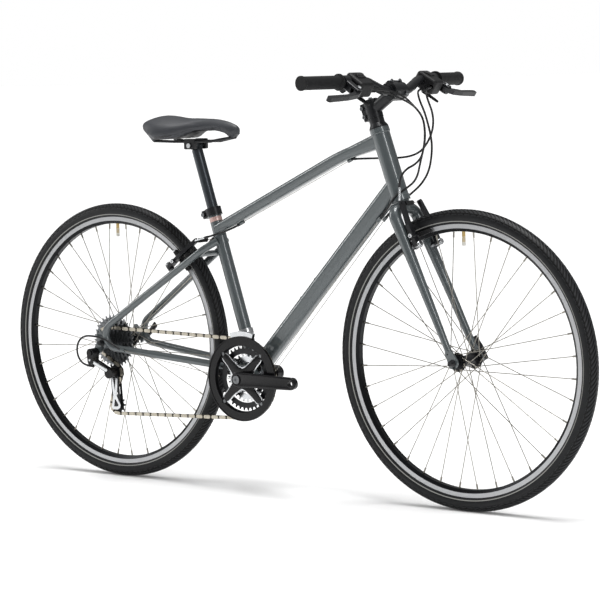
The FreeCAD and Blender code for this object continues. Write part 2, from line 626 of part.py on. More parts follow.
def fork_part():
    shoulder = [blade_end, crown_corner, steer_at(size.crown_height + size.blade_top_radius / 2)]
    path = bent_path(shoulder, size.crown_bend_radius)
    enter = path.OrderedVertexes[1].Point
    mouth = Part.Wire(Part.makeCircle(size.blade_top_radius, enter, blade_up))
    bend = Part.Wire(path.OrderedEdges[1:]).makePipeShell([mouth], True, False)
    crown_top = size.crown_height + size.blade_top_radius
    race_top = head_bottom - size.air_gap
    steerer = joined([rod(steer_at(size.crown_height), steer_at(stem_top - size.overrun),
                          size.steerer_radius),
                      taper(steer_at(size.crown_height), steer_at(race_top), size.blade_top_radius,
                            size.crown_radius)])
    crown = joined([bend, flipped(bend), steerer])
    crown = crown.cut(rod(steer_at(crown_top), steer_at(stem_top), size.steerer_bore))
    blade = taper(blade_end, enter, size.blade_tip_radius, size.blade_top_radius)
    tip = fork_tip_plate().cut(blade)
    stud_base = on_side(front_boss, size.boss_half_gap)
    stud = brake_stud(stud_base, front_brake_axis, size.blade_top_radius).cut(blade)
    shapes = [crown, blade, flipped(blade), tip, flipped(tip), largest(stud), flipped(largest(stud))]
    part("fork", *[solid("fork_piece", shape) for shape in shapes])


def headset_parts():
    bearing = ("head_tube_bore - seat_gap", "steerer_radius + running_gap", "bearing_height")
    lower = ring("lower_bearing", *bearing, steer_at(head_bottom), steer_up)
    upper = ring("upper_bearing", *bearing, steer_at(head_top - size.bearing_height), steer_up)
    part("headset_bearings", lower, upper)
    hole = "steerer_radius + seat_gap"
    cover = turned("headset_cover", [("cover_radius", "0"), ("cover_radius", "cover_height / 4"),
                                     ("spacer_radius", "cover_height"), (hole, "cover_height"), (hole,
                                                                                                 "0")],
                   along(steer_at(head_top + size.air_gap), steer_up))
    spacer = ring("headset_spacer", "spacer_radius", hole, "spacer_height",
                  steer_at(head_top + size.air_gap + size.cover_height), steer_up)
    cap = turned("stem_cap", [("top_cap_radius", "0"), ("top_cap_radius", "top_cap_height / 2"),
                              ("top_cap_radius - top_cap_height / 2", "top_cap_height"),
                              ("stem_bolt_radius + seat_gap", "top_cap_height"),
                              ("stem_bolt_radius + seat_gap", "0")],
                 along(steer_at(stem_top), steer_up))
    part("headset_spacers", cover, spacer, cap)


# Stem and handlebar

stem_middle = steer_at(stem_bottom + size.stem_height / 2)
bar_centre = steer_at(stem_bottom + size.stem_height / 2 + size.stem_rise, size.stem_reach)
stem_ahead = unit(bar_centre - stem_middle)
stem_normal = stem_ahead.cross(Y_AXIS)
sweep = math.tan(math.radians(size.bar_sweep))
bar_inner = bar_centre - Y_AXIS * size.bar_bend_inner
bar_outer = Vector(bar_centre.x - (size.bar_bend_outer - size.bar_bend_inner) * sweep,
                   -size.bar_bend_outer,
                   bar_centre.z + size.bar_rise)
bar_end = Vector(bar_outer.x - (size.bar_half_width - size.bar_bend_outer) * sweep, -size.bar_half_width,
                 bar_outer.z)


def stem_bolt(head, direction, length, radius, head_radius):
    """Socket-head bolt; the head stands out from the given point."""
    key = rod(head - direction * size.stem_bolt_head_height, head - direction * size.overrun, radius / 2)
    return rod(head - direction * size.stem_bolt_head_height, head, head_radius).fuse(
        rod(head, head + direction * length, radius)).cut(key).removeSplitter()


def stem_bolts():
    bolts = []
    reach = size.faceplate_bolt_height - size.faceplate_gap / 2
    for left in (-1, 1):
        for up in (-1, 1):
            side = Y_AXIS * (left * size.faceplate_bolt_spacing / 2)
            seat = bar_centre + side + stem_normal * (up * clamp_bolt_line)
            bolts.append(stem_bolt(seat + stem_ahead * reach, stem_ahead * -1, 2 * reach,
                                   size.stem_bolt_radius,
                                   size.stem_bolt_head))
    clamp_bolt_shares = (0.25, 0.75)
    for share in clamp_bolt_shares:
        seat = steer_at(stem_bottom + size.stem_height * share, -clamp_lug_line,
                        -size.clamp_lug_width / 2)
        bolts.append(stem_bolt(seat, Y_AXIS, size.clamp_lug_width - size.overrun, size.stem_bolt_radius,
                               size.stem_bolt_head))
    cap_top = steer_at(stem_top + size.top_cap_height)
    bolts.append(stem_bolt(cap_top, steer_up * -1, size.stem_height / 2, size.stem_bolt_radius,
                           size.stem_bolt_head))
    return bolts


clamp_bolt_line = size.bar_centre_radius + size.stem_bolt_radius + size.overrun
clamp_lug_line = size.stem_radius + size.stem_bolt_radius + size.overrun / 2


def bar_clamp(start, end):
    """Slice of the handlebar clamp between two distances ahead of the bar's axis."""
    half = size.bar_clamp_width / 2
    tall = clamp_bolt_line + size.stem_bolt_head
    lug = size.faceplate_bolt_height - size.faceplate_gap / 2
    barrel = rod(bar_centre - Y_AXIS * half, bar_centre + Y_AXIS * half, size.bar_clamp_radius)
    frame = Placement(bar_centre, Rotation(stem_ahead, Y_AXIS, stem_normal, "XYZ"))
    ears = block(Vector(-lug, -half, -tall), 2 * lug, 2 * half, 2 * tall)
    ears.Placement = frame
    wall = 2 * size.bar_clamp_radius
    slab = block(Vector(start, -wall, -wall), end - start, 2 * wall, 2 * wall)
    slab.Placement = frame
    bore = rod(bar_centre - Y_AXIS * wall, bar_centre + Y_AXIS * wall,
               size.bar_centre_radius + size.seat_gap)
    ears = ears.makeFillet(size.stem_bolt_radius,
                           [edge for edge in ears.Edges if edge.Length > size.bar_clamp_width - 1])
    return barrel.fuse(ears).common(slab).cut(bore).removeSplitter()


def stem_parts():
    bolts = stem_bolts()
    half_gap = size.faceplate_gap / 2
    frame = Placement(steer_at(stem_bottom), Rotation(steer_ahead, Y_AXIS, steer_up, "XYZ"))
    lug_reach = clamp_lug_line + size.stem_bolt_head
    lug = block(Vector(-lug_reach, -size.clamp_lug_width / 2, 0), lug_reach, size.clamp_lug_width,
                size.stem_height)
    slit = block(Vector(-lug_reach, -half_gap, 0), lug_reach, size.faceplate_gap, size.stem_height)
    lug.Placement = slit.Placement = frame
    clamp = rod(steer_at(stem_bottom), steer_at(stem_top), size.stem_radius)
    arm = rod(stem_middle, bar_centre - stem_ahead * half_gap, size.stem_arm_radius)
    back = bar_clamp(-2 * size.bar_clamp_radius, -half_gap)
    steerer = rod(steer_at(stem_bottom - size.overrun), steer_at(stem_top + size.overrun),
                  size.steerer_radius + size.seat_gap)
    bar_bore = rod(bar_centre - Y_AXIS * size.bar_clamp_width, bar_centre + Y_AXIS * size.bar_clamp_width,
                   size.bar_centre_radius + size.seat_gap)
    stem = joined([clamp, lug, arm, back]).cut([steerer, bar_bore, slit, *bolts])
    faceplate = bar_clamp(half_gap, 2 * size.bar_clamp_radius).cut(bolts)
    part("stem", solid("stem", largest(stem)))
    part("stem_faceplate", solid("stem_faceplate", largest(faceplate)))
    part("stem_bolts", *[solid("stem_bolt", bolt) for bolt in bolts])


def handlebar_part():
    half = [bar_end, bar_outer, bar_inner]
    route = half + [Vector(point.x, -point.y, point.z) for point in reversed(half)]
    middle = Y_AXIS * size.bar_centre_width / 2
    sleeve = rod(bar_centre - middle, bar_centre + middle, size.bar_centre_radius)
    bar = pipe(route, size.bar_radius, size.bar_bend_radius).fuse(sleeve)
    inside = pipe(route, size.bar_radius - size.bar_wall, size.bar_bend_radius)
    part("handlebar", solid("handlebar", bar.cut(inside)))


bar_out = unit(bar_end - bar_outer)
bar_ahead = Z_AXIS.cross(bar_out)
droop = math.radians(size.lever_droop)
lever_ahead = bar_ahead * math.cos(droop) - Z_AXIS * math.sin(droop)
lever_up = bar_ahead * math.sin(droop) + Z_AXIS * math.cos(droop)


def at_hand(out, ahead=0.0, up=0.0):
    """Place at the right-hand controls: along the bar, towards the lever's blade and square to both."""
    return bar_outer + bar_out * out + lever_ahead * ahead + lever_up * up


def grips_part():
    bore = "bar_radius + seat_gap"
    outline = [(bore, "0"), ("grip_flange_radius", "0"), ("grip_flange_radius", "grip_flange_width"),
               ("grip_radius", "grip_flange_width + grip_flange_width / 2"), ("grip_radius",
                                                                              "grip_length - grip_cap"),
               ("grip_cap_radius", "grip_length"), ("grip_cap_radius", "grip_length + grip_cap"),
               ("0", "grip_length + grip_cap"), ("0", "grip_length + seat_gap"), (bore,
                                                                                  "grip_length + seat_gap")]
    right = turned("right_grip", outline, along(bar_end - bar_out * size.grip_length, bar_out))
    part("grips", right, mirrored("left_grip", right))


# Brake levers and shifters

lever_pivot = at_hand(size.bracket_out - size.bracket_width / 4, size.lever_pivot_reach)
barrel_reach = size.lever_pivot_reach - size.lever_root_radius
barrel_end = at_hand(size.bracket_out - size.bracket_width / 2 - size.barrel_length, barrel_reach)
pod_exit = at_hand(size.pod_inner - size.adjuster_length, size.adjuster_reach, -size.pod_bottom / 2)


def lever_shape():
    """Brake lever: a flat root on the pivot and a blade that runs out along the grip."""
    depth = lever_up * size.lever_thickness
    low = lever_up * (size.lever_thickness / -2)
    run, rise = size.lever_tip_out - size.bracket_out, size.lever_tip_reach - size.lever_pivot_reach
    blade_shares = ((0, 0), (0.16, 0.56), (0.45, 0.86), (1, 1))
    swell_share, waist_share = 1.1, 0.8
    radii = (size.lever_root_radius, size.lever_blade_radius * swell_share,
             size.lever_blade_radius * waist_share, size.lever_blade_radius)
    centres = [lever_pivot + bar_out * run * along_share + lever_ahead * rise * reach_share + low
               for along_share, reach_share in blade_shares]
    pin = rod(lever_pivot - depth, lever_pivot + depth, size.lever_pin_radius + size.running_gap)
    return strap(list(zip(centres, radii)), depth).cut(pin)


def hand_block(out, ahead, up):
    """Box at the hand controls from three (low, high) spans."""
    box = block(Vector(out[0], ahead[0], up[0]), out[1] - out[0], ahead[1] - ahead[0], up[1] - up[0])
    box.Placement = Placement(bar_outer, Rotation(bar_out, lever_ahead, lever_up, "XYZ"))
    return box


def bracket_shapes():
    """Lever bracket around the bar, with a fork for the lever, its pin and the cable barrel."""
    inner, outer = size.bracket_out - size.bracket_width / 2, size.bracket_out + size.bracket_width / 2
    half = size.bracket_height / 2
    collar = rod(at_hand(inner), at_hand(outer), size.bracket_radius)
    reach = size.lever_pivot_reach + size.lever_root_radius
    arm = hand_block((inner, outer), (0, reach), (-half, half))
    upright_edges = (1, 3, 5, 7)
    arm = arm.makeFillet(size.pod_round / 2, [arm.Edges[number] for number in upright_edges])
    barrel = rod(barrel_end, at_hand(inner, barrel_reach), size.barrel_radius)
    gap = size.lever_thickness / 2 + size.air_gap
    clear = size.lever_root_radius + size.air_gap
    fork = joined([rod(lever_pivot - lever_up * gap, lever_pivot + lever_up * gap, clear + size.overrun),
                   hand_block((size.bracket_out, outer + clear),
                              (size.lever_pivot_reach - clear, 2 * reach), (-gap, gap)),
                   hand_block((inner, outer + clear), (size.lever_pivot_reach, 2 * reach), (-gap, gap))])
    bar = rod(at_hand(inner - size.barrel_length), at_hand(outer + size.barrel_length),
              size.bar_radius + size.seat_gap)
    pin = rod(lever_pivot - lever_up * half, lever_pivot + lever_up * half, size.lever_pin_radius)
    return joined([collar, arm, barrel]).cut([fork, bar, pin]), pin


def pod_shape():
    """Gear shifter housing around the bar, with a raised window over its gear display."""
    outer = size.pod_inner + size.pod_width
    box = hand_block((size.pod_inner, outer), (-size.pod_back, size.pod_front),
                     (-size.pod_bottom, size.pod_top))
    box = box.makeFillet(size.pod_round, box.Edges)
    middle = size.pod_inner + size.pod_width / 2
    window = hand_block((middle - size.window_length / 2, middle + size.window_length / 2),
                        (0, size.window_width), (0, size.pod_top + size.window_height))
    bar = rod(at_hand(0), at_hand(outer + size.pod_inner), size.bar_radius + size.seat_gap)
    thumb_floor = size.pod_bottom + 2 * size.thumb_thickness + 3 * size.air_gap
    pivot = at_hand(size.thumb_pivot_out, size.thumb_pivot_reach)
    pin = rod(pivot - lever_up * thumb_floor, pivot, size.lever_pin_radius)
    channel = rod(at_hand(0, barrel_reach), at_hand(2 * outer, barrel_reach),
                  size.barrel_radius + size.air_gap)
    adjuster = rod(pod_exit, pod_exit + bar_out * 2 * size.adjuster_length, size.barrel_radius)
    return joined([box, window, pin, adjuster]).cut([bar, channel])


thumb_pivot = at_hand(size.thumb_pivot_out, size.thumb_pivot_reach)


def thumb_shape():
    """Thumb lever under the shifter, with a round paddle."""
    top = size.pod_bottom + size.air_gap
    low = lever_up * -(top + size.thumb_thickness)
    tip = at_hand(size.thumb_pivot_out + size.thumb_out, -size.thumb_back)
    arm = strap([(thumb_pivot + low, size.thumb_root_radius), (tip + low, size.thumb_arm_radius)],
                lever_up * size.thumb_thickness)
    paddle_middle = tip - lever_up * (top + size.paddle_radius)
    paddle = rod(paddle_middle - lever_ahead * size.paddle_thickness, paddle_middle, size.paddle_radius)
    pin = rod(thumb_pivot + low * 2, thumb_pivot, size.lever_pin_radius + size.running_gap)
    return joined([arm, paddle]).cut(pin)


def trigger_shape():
    """Release lever in front, below the thumb lever on the same pin."""
    top = size.pod_bottom + size.thumb_thickness + 2 * size.air_gap
    low = lever_up * -(top + size.thumb_thickness)
    tip = at_hand(size.thumb_pivot_out - size.trigger_in, size.trigger_reach)
    arm = strap([(thumb_pivot + low, size.trigger_root_radius), (tip + low, size.trigger_tip_radius)],
                lever_up * size.thumb_thickness)
    pin = rod(thumb_pivot + low * 2, thumb_pivot, size.lever_pin_radius + size.running_gap)
    return arm.cut(pin)


def control_parts():
    bracket, pin = bracket_shapes()
    right = [solid("bracket", bracket), solid("lever_pin", pin)]
    part("lever_brackets", *right, *[mirrored("left_bracket", piece) for piece in right])
    pod = solid("pod", pod_shape())
    part("shifter_pods", pod, mirrored("left_pod", pod))
    for name, shape in (("brake_lever", lever_shape()), ("thumb_lever", thumb_shape()),
                        ("release_lever", trigger_shape())):
        lever = part("right_" + name, solid("right_" + name, shape))
        part("left_" + name, mirrored("left_" + name, lever))


fork_part()
headset_parts()
stem_parts()
handlebar_part()
grips_part()
control_parts()


# Seatpost and saddle

post_head = seat_at(size.post_top + size.post_head_rise)
saddle_rear = post_head - X_AXIS * size.saddle_back
# shares of the saddle's length from the rear, of its half width and of its height
saddle_shares = ((0, 0.45, 0.45), (0.06, 0.80, 0.78), (0.20, 1, 0.93), (0.42, 0.78, 0.76),
                 (0.62, 0.38, 0.62),
                 (0.82, 0.25, 0.52), (0.95, 0.20, 0.41), (1, 0.11, 0.27))


def saddle_base(length_share, half_width=0.0, below=0.0):
    """Point of the saddle's lower plane, which rises towards the nose."""
    rise = size.saddle_base_rise + size.saddle_nose_rise * length_share - below
    return Vector(saddle_rear.x + size.saddle_length * length_share, half_width, saddle_rear.z + rise)


def saddle_cover():
    """Padded cover: half ellipses over the saddle's plan, wide and high behind, narrow at the nose."""
    wires = []
    for length_share, width_share, height_share in saddle_shares:
        half, high = size.saddle_half_width * width_share, size.saddle_height * height_share
        right, left = saddle_base(length_share, -half), saddle_base(length_share, half)
        middle = (right + left) * 0.5
        quarter = math.sqrt(0.5)
        crown = [right, middle + (Y_AXIS * -half + Z_AXIS * high) * quarter, middle + Z_AXIS * high,
                 middle + (Y_AXIS * half + Z_AXIS * high) * quarter, left]
        curve = Part.BSplineCurve()
        curve.interpolate(crown, InitialTangent=Z_AXIS, FinalTangent=Z_AXIS * -1)
        wires.append(Part.Wire([curve.toShape(), Part.LineSegment(left, right).toShape()]))
    return Part.makeLoft(wires, True, False)


def saddle_shell(inset_share=0.88):
    below = size.air_gap + size.shell_thickness
    right = [saddle_base(length, -size.saddle_half_width * width * inset_share, below)
             for length, width, height in saddle_shares]
    left = [Vector(point.x, -point.y, point.z) for point in reversed(right)]
    face = Part.Face(Part.makePolygon(right + left + right[:1]))
    return face.extrude(Z_AXIS * size.shell_thickness)


def saddle_rail():
    """Right rail: from under the nose, down to the clamp and up again under the rear."""
    below = size.shell_thickness + size.rail_radius + 2 * size.air_gap
    level = post_head.z + size.rail_rise
    nose_share, front_share, back_share, rear_share, pinch_share = 0.93, 0.72, 0.34, 0.14, 2.5
    nose = saddle_base(nose_share, -pinch_share * size.rail_radius, below)
    rear = saddle_base(rear_share, -2 * size.rail_half_gap, below)
    front = saddle_base(front_share, -size.rail_half_gap)
    back = saddle_base(back_share, -size.rail_half_gap)
    front.z = back.z = level
    return pipe([nose, front, back, rear], size.rail_radius, size.rail_bend_radius)


def saddle_parts():
    foot = seat_at(size.post_top - size.post_length)
    tube = ring("post_tube", "post_radius", "post_bore", "post_length", foot, seat_up)
    neck = cone("post_neck", "post_radius", "post_head_radius", "post_head_rise", seat_at(size.post_top),
                seat_up)
    head = cylinder("post_head", "post_head_radius", "2 * post_head_half_width",
                    post_head - Y_AXIS * size.post_head_half_width, Y_AXIS)
    reach = size.post_head_half_width + size.air_gap + size.clamp_block_width
    hole = cylinder("post_bolt_hole", "saddle_bolt_radius + running_gap", "4 * post_head_half_width",
                    post_head - Y_AXIS * 2 * size.post_head_half_width, Y_AXIS)
    part("seatpost", cut("seatpost", fuse("post_blank", tube, neck, head), hole))
    rail = saddle_rail()
    bolt = joined([rod(post_head - Y_AXIS * reach, post_head + Y_AXIS * reach, size.saddle_bolt_radius),
                   rod(post_head - Y_AXIS * (reach + size.saddle_bolt_head_height),
                       post_head - Y_AXIS * reach, size.saddle_bolt_head),
                   rod(post_head + Y_AXIS * reach, post_head
                       + Y_AXIS * (reach + size.saddle_bolt_head_height), size.saddle_bolt_head)])
    corner = post_head + Vector(-size.clamp_block_length / 2, -reach,
                                size.rail_rise + 2 * size.rail_radius - size.clamp_block_height)
    clamp = block(corner, size.clamp_block_length, size.clamp_block_width, size.clamp_block_height)
    clamp = clamp.makeFillet(size.rail_radius,
                             [edge for edge in clamp.Edges if edge.Length < size.clamp_block_width + 1])
    clamp = clamp.cut([bolt, rail])
    part("saddle_clamp", *[solid("clamp_piece", shape) for shape in (clamp, flipped(clamp), bolt)])
    part("saddle_rails", solid("right_rail", rail), solid("left_rail", flipped(rail)))
    part("saddle_shell", solid("saddle_shell", saddle_shell()))
    part("saddle_cover", solid("saddle_cover", saddle_cover()))


def seat_clamp_part():
    """Collar around the top of the seat tube, with a split lug and a bolt behind."""
    base = seat_at(size.seat_tube_length - size.seat_clamp_height + size.seat_clamp_lip)
    top = base + seat_up * size.seat_clamp_height
    seat_back = Y_AXIS.cross(seat_up) * -1
    frame = Placement(base, Rotation(seat_back, Y_AXIS * -1, seat_up, "XYZ"))
    reach = size.seat_clamp_radius + size.clamp_lug_length
    height, over = size.seat_clamp_height, size.overrun
    lug = block(Vector(0, -size.clamp_lug_width / 2, 0), reach, size.clamp_lug_width, height)
    slit = block(Vector(0, -size.clamp_slit / 2, -over), reach + over, size.clamp_slit, height + 2 * over)
    lug.Placement = slit.Placement = frame
    tube = rod(base - seat_up * over, seat_at(size.seat_tube_length),
               size.seat_tube_radius + size.seat_gap)
    post = rod(base - seat_up * over, top + seat_up * over, size.post_radius + size.running_gap)
    middle = (base + top) * 0.5 + seat_back * (size.seat_clamp_radius + size.clamp_lug_length / 2)
    half = Y_AXIS * (size.clamp_lug_width / 2)
    hole = rod(middle - half * 2, middle + half * 2, size.clamp_bolt_radius + size.seat_gap)
    bolt = joined([rod(middle - half, middle + half, size.clamp_bolt_radius),
                   rod(middle - half - Y_AXIS * size.clamp_bolt_head_height, middle - half,
                       size.clamp_bolt_head)])
    collar = joined([rod(base, top, size.seat_clamp_radius), lug])
    for cutter in (tube, post, slit, hole):
        collar = collar.cut(cutter)
    part("seat_clamp", solid("seat_collar", largest(collar)), solid("seat_bolt", bolt))


# Wheels

def tyre_shape(axle):
    """Tyre casing: two arcs around the section, down to beads inside the rim."""
    centre, outer = size.tyre_radius - size.tyre_section, size.tyre_section
    inner = outer - size.tyre_wall
    lip = size.rim_radius + size.air_gap
    bead_out = size.rim_half_width - size.rim_wall - size.seat_gap
    bead_in = bead_out - size.tyre_wall
    wide = math.sqrt(outer ** 2 - (centre - lip) ** 2)
    narrow = math.sqrt(inner ** 2 - (centre - lip) ** 2)

    def at(radius, left):
        return axle + Z_AXIS * radius + Y_AXIS * left

    side = [at(lip, -wide), at(lip, -bead_out), at(size.bead_radius, -bead_out),
            at(size.bead_radius, -bead_in), at(lip, -narrow)]
    other = [Vector(point.x, 2 * axle.y - point.y, point.z) for point in reversed(side)]
    edges = [Part.Arc(other[-1], at(size.tyre_radius, 0), side[0]).toShape()]
    edges += [Part.LineSegment(a, b).toShape() for a, b in zip(side, side[1:])]
    edges.append(Part.Arc(side[-1], at(centre + inner, 0), other[0]).toShape())
    edges += [Part.LineSegment(a, b).toShape() for a, b in zip(other, other[1:])]
    return Part.Face(Part.Wire(edges)).revolve(axle, Y_AXIS, 360)


def rim_outline():
    right = [("rim_radius", "rim_half_width"), ("rim_radius - rim_track", "rim_half_width"),
             ("rim_radius - rim_depth", "rim_bed_half_width")]
    inside = [("rim_radius - rim_depth + rim_wall", "rim_bed_half_width - rim_wall / 2"),
              ("rim_radius - rim_track - rim_wall / 2", "rim_half_width - rim_wall"),
              ("rim_radius", "rim_half_width - rim_wall")]

    def other(corners):
        return [(radius, f"-({left})") for radius, left in reversed(corners)]

    return right + other(right) + other(inside) + inside


def spoke(flange_line, flange_radius, outward, lead, side):
    """One spoke at the top of the wheel: head, elbow through the flange, straight run and nipple."""
    turn = math.radians(size.spoke_cross) * lead
    lie = size.flange_thickness / 2 + size.spoke_radius + size.spoke_lift
    start = Vector(0, flange_line + outward * lie, flange_radius)
    head = Vector(0, flange_line - outward * (size.flange_thickness / 2 + size.seat_gap), flange_radius)
    cap = head - Y_AXIS * outward * size.spoke_head_height
    rim = size.rim_radius - size.rim_depth - size.air_gap
    end = Vector(rim * math.sin(turn), side * size.rim_spoke_half_gap, rim * math.cos(turn))
    nipple = end + unit(start - end) * size.nipple_length
    return joined([rod(start, end, size.spoke_radius), rod(head, start, size.spoke_radius),
                   Part.makeSphere(size.spoke_radius, start), rod(cap, head, size.spoke_head_radius),
                   rod(nipple, end, size.nipple_radius)])


def spokes_shape(axle, left_line, right_line, flange_radius):
    """All spokes of a wheel, crossed three times, with their heads in and out by turns."""
    count = int(size.spoke_pairs)
    step, shapes = 360 / count, []
    for side, line, start in ((1, left_line, 0), (-1, right_line, step / 2)):
        for lead in (1, -1):
            model = spoke(line, flange_radius, side * lead, lead, side)
            for index in range(0 if lead > 0 else 1, count, 2):
                copy = model.copy()
                copy.rotate(Vector(), Y_AXIS, start + size.spoke_turn + index * step)
                copy.translate(axle)
                shapes.append(copy)
    return shapes


def flange_holes(axle, left_line, right_line, flange_radius):
    count = int(size.spoke_pairs)
    step, holes = 360 / count, []
    for line, start in ((left_line, 0), (right_line, step / 2)):
        for index in range(count):
            turn = math.radians(start + size.spoke_turn + index * step)
            place = axle + Vector(flange_radius * math.sin(turn), line, flange_radius * math.cos(turn))
            thick = Y_AXIS * size.flange_thickness
            holes.append(rod(place - thick, place + thick, size.spoke_radius + size.seat_gap))
    return Part.makeCompound(holes)


def hub_outline(right_end, right_line, left_line, left_end, flange, barrel):
    """Turned hub shell between its two ends, with a bore for the axle."""
    half = "flange_thickness / 2"
    bore = "axle_radius + running_gap"
    return [(bore, right_end), ("hub_end_radius", right_end),
            ("hub_end_radius", f"{right_line} - {half}"),
            (flange, f"{right_line} - {half}"), (flange, f"{right_line} + {half}"), (barrel,
                                                                                     f"{right_line} + {half}"),
            (barrel, f"{left_line} - {half}"), (flange, f"{left_line} - {half}"), (flange,
                                                                                   f"{left_line} + {half}"),
            ("hub_end_radius", f"{left_line} + {half}"), ("hub_end_radius", left_end), (bore, left_end)]


def wheel_parts(name, axle, left_line, right_line, flange_radius, outline):
    part(name + "_tyre", solid(name + "_tyre", tyre_shape(axle)))
    rim_blank = turned(name + "_rim_blank", rim_outline(), along(axle, Y_AXIS))
    valve_hole = cylinder(name + "_valve_hole", "valve_radius + seat_gap", "rim_radius", axle, Z_AXIS)
    part(name + "_rim", cut(name + "_rim", rim_blank, valve_hole))
    ring_tube = bind(doc.addObject("Part::Torus", name + "_tube"), Radius1="tyre_radius - tyre_section",
                     Radius2="tube_section")
    ring_tube.Placement = along(axle, Y_AXIS)
    valve_top = size.tyre_radius - size.tyre_section - size.tube_section + size.overrun
    valve = cylinder(name + "_valve", "valve_radius", "valve_length", axle + Z_AXIS * valve_top,
                     Z_AXIS * -1)
    part(name + "_inner_tube", fuse(name + "_inner_tube", ring_tube, valve))
    part(name + "_spokes", *[solid("spoke", shape)
                             for shape in spokes_shape(axle, left_line, right_line, flange_radius)])
    shell = turned(name + "_hub_shell", outline, along(axle, Y_AXIS))
    holes = solid(name + "_flange_holes", flange_holes(axle, left_line, right_line, flange_radius))
    part(name + "_hub", cut(name + "_hub", shell, holes))


def axle_part(name, axle, width, plate, left_inner, right_inner):
    """Axle, its cones, the quick-release rod with its nut on the right and its cam body on the left."""
    half, reach = width / 2, width / 2 + plate
    tube = rod(axle - Y_AXIS * (half + size.axle_stub), axle + Y_AXIS * (half + size.axle_stub),
               size.axle_radius)
    tube = tube.cut(rod(axle - Y_AXIS * width, axle + Y_AXIS * width, size.axle_bore))
    bore = rod(axle - Y_AXIS * width, axle + Y_AXIS * width, size.axle_radius)
    cones = [rod(axle + Y_AXIS * left_inner, axle + Y_AXIS * half, size.cone_radius).cut(bore),
             rod(axle - Y_AXIS * right_inner, axle - Y_AXIS * half, size.cone_radius).cut(bore)]
    right, left = axle - Y_AXIS * reach, axle + Y_AXIS * reach
    skewer = rod(right - Y_AXIS * size.skewer_nut_height / 2, left + Y_AXIS * size.qr_body_height / 2,
                 size.skewer_radius)
    nut = taper(right, right - Y_AXIS * size.skewer_nut_height, size.skewer_nut_radius,
                size.skewer_nut_tip).cut(skewer)
    body = rod(left, left + Y_AXIS * size.qr_body_height, size.qr_body_radius).cut(skewer)
    part(name + "_axle", *[solid(name + "_axle_piece", shape)
                           for shape in (tube, *cones, skewer, nut, body)])


def qr_pivot(axle, width, plate):
    return axle + Y_AXIS * (width / 2 + plate + size.qr_body_height + size.air_gap + size.qr_lever_radius)


def qr_lever_part(name, pivot, lever_up_way):
    """Quick-release lever: a cam and a flat handle that lies along the frame when closed."""
    across = Y_AXIS.cross(lever_up_way)
    depth = across * (2 * size.qr_lever_radius)
    low = pivot - depth * 0.5
    length, out = size.qr_lever_length, size.qr_lever_thickness
    handle = strap([(low, size.qr_lever_radius),
                    (low + lever_up_way * length * 0.5 + Y_AXIS * out / 2, out / 2),
                    (low + lever_up_way * length - Y_AXIS * out, out / 2)], depth)
    part(name, solid(name, handle))


# Drivetrain

def pitch_radius(teeth):
    return size.chain_pitch / 2 / math.sin(math.pi / teeth)


def cog_line(index):
    return -(size.rear_hub_width / 2 - size.first_cog_from_end) + index * size.cog_pitch


chain_cog_line = cog_line(CHAIN_COG)
guide_centre = rear_axle + Vector(size.guide_forward, chain_cog_line, -size.guide_drop)
tension_centre = rear_axle + Vector(size.tension_forward, chain_cog_line, -size.tension_drop)
hanger_point = rear_axle + Vector(-size.hanger_back, -size.rear_hub_width / 2, -size.hanger_drop)
freehub_end = size.rear_hub_width / 2 - size.first_cog_from_end + size.tooth_thickness / 2


def ring_at(radius_outer, radius_inner, centre, low, high):
    return rod(centre + Y_AXIS * low, centre + Y_AXIS * high, radius_outer).cut(
        rod(centre + Y_AXIS * (low - size.overrun), centre + Y_AXIS * (high + size.overrun),
            radius_inner))


def cassette_parts():
    half = size.tooth_thickness / 2
    shapes = []
    for index, teeth in enumerate(COG_TEETH):
        line = cog_line(index)
        cog = toothed(teeth, size.tooth_thickness, size.cog_bore)
        cog.translate(rear_axle + Y_AXIS * line)
        shapes.append(cog)
        if index:
            washer = size.cog_bore + size.tooth_thickness / 2
            shapes.append(ring_at(washer, size.cog_bore, rear_axle, line - size.cog_pitch + half,
                                  line - half))
    part("cassette_sprockets", *[solid("cog", shape) for shape in shapes])
    inner = -(size.rear_hub_right + size.air_gap)
    bore = size.axle_radius + size.running_gap
    body = ring_at(size.freehub_radius, bore, rear_axle, -freehub_end, inner)
    lock = ring_at(size.lockring_radius, bore, rear_axle, -freehub_end - size.lockring_height,
                   -freehub_end)
    part("freehub_body", solid("freehub", body), solid("lockring", lock))


def ring_line(index):
    return -size.big_ring_line + index * size.ring_pitch


def round_points(radius, line):
    """Points on the spider's four arms at a radius from the crank's axis."""
    turns = [math.radians(angle) for angle in SPIDER_ANGLES]
    return [bb + Vector(radius * math.cos(turn), line, radius * math.sin(turn)) for turn in turns]


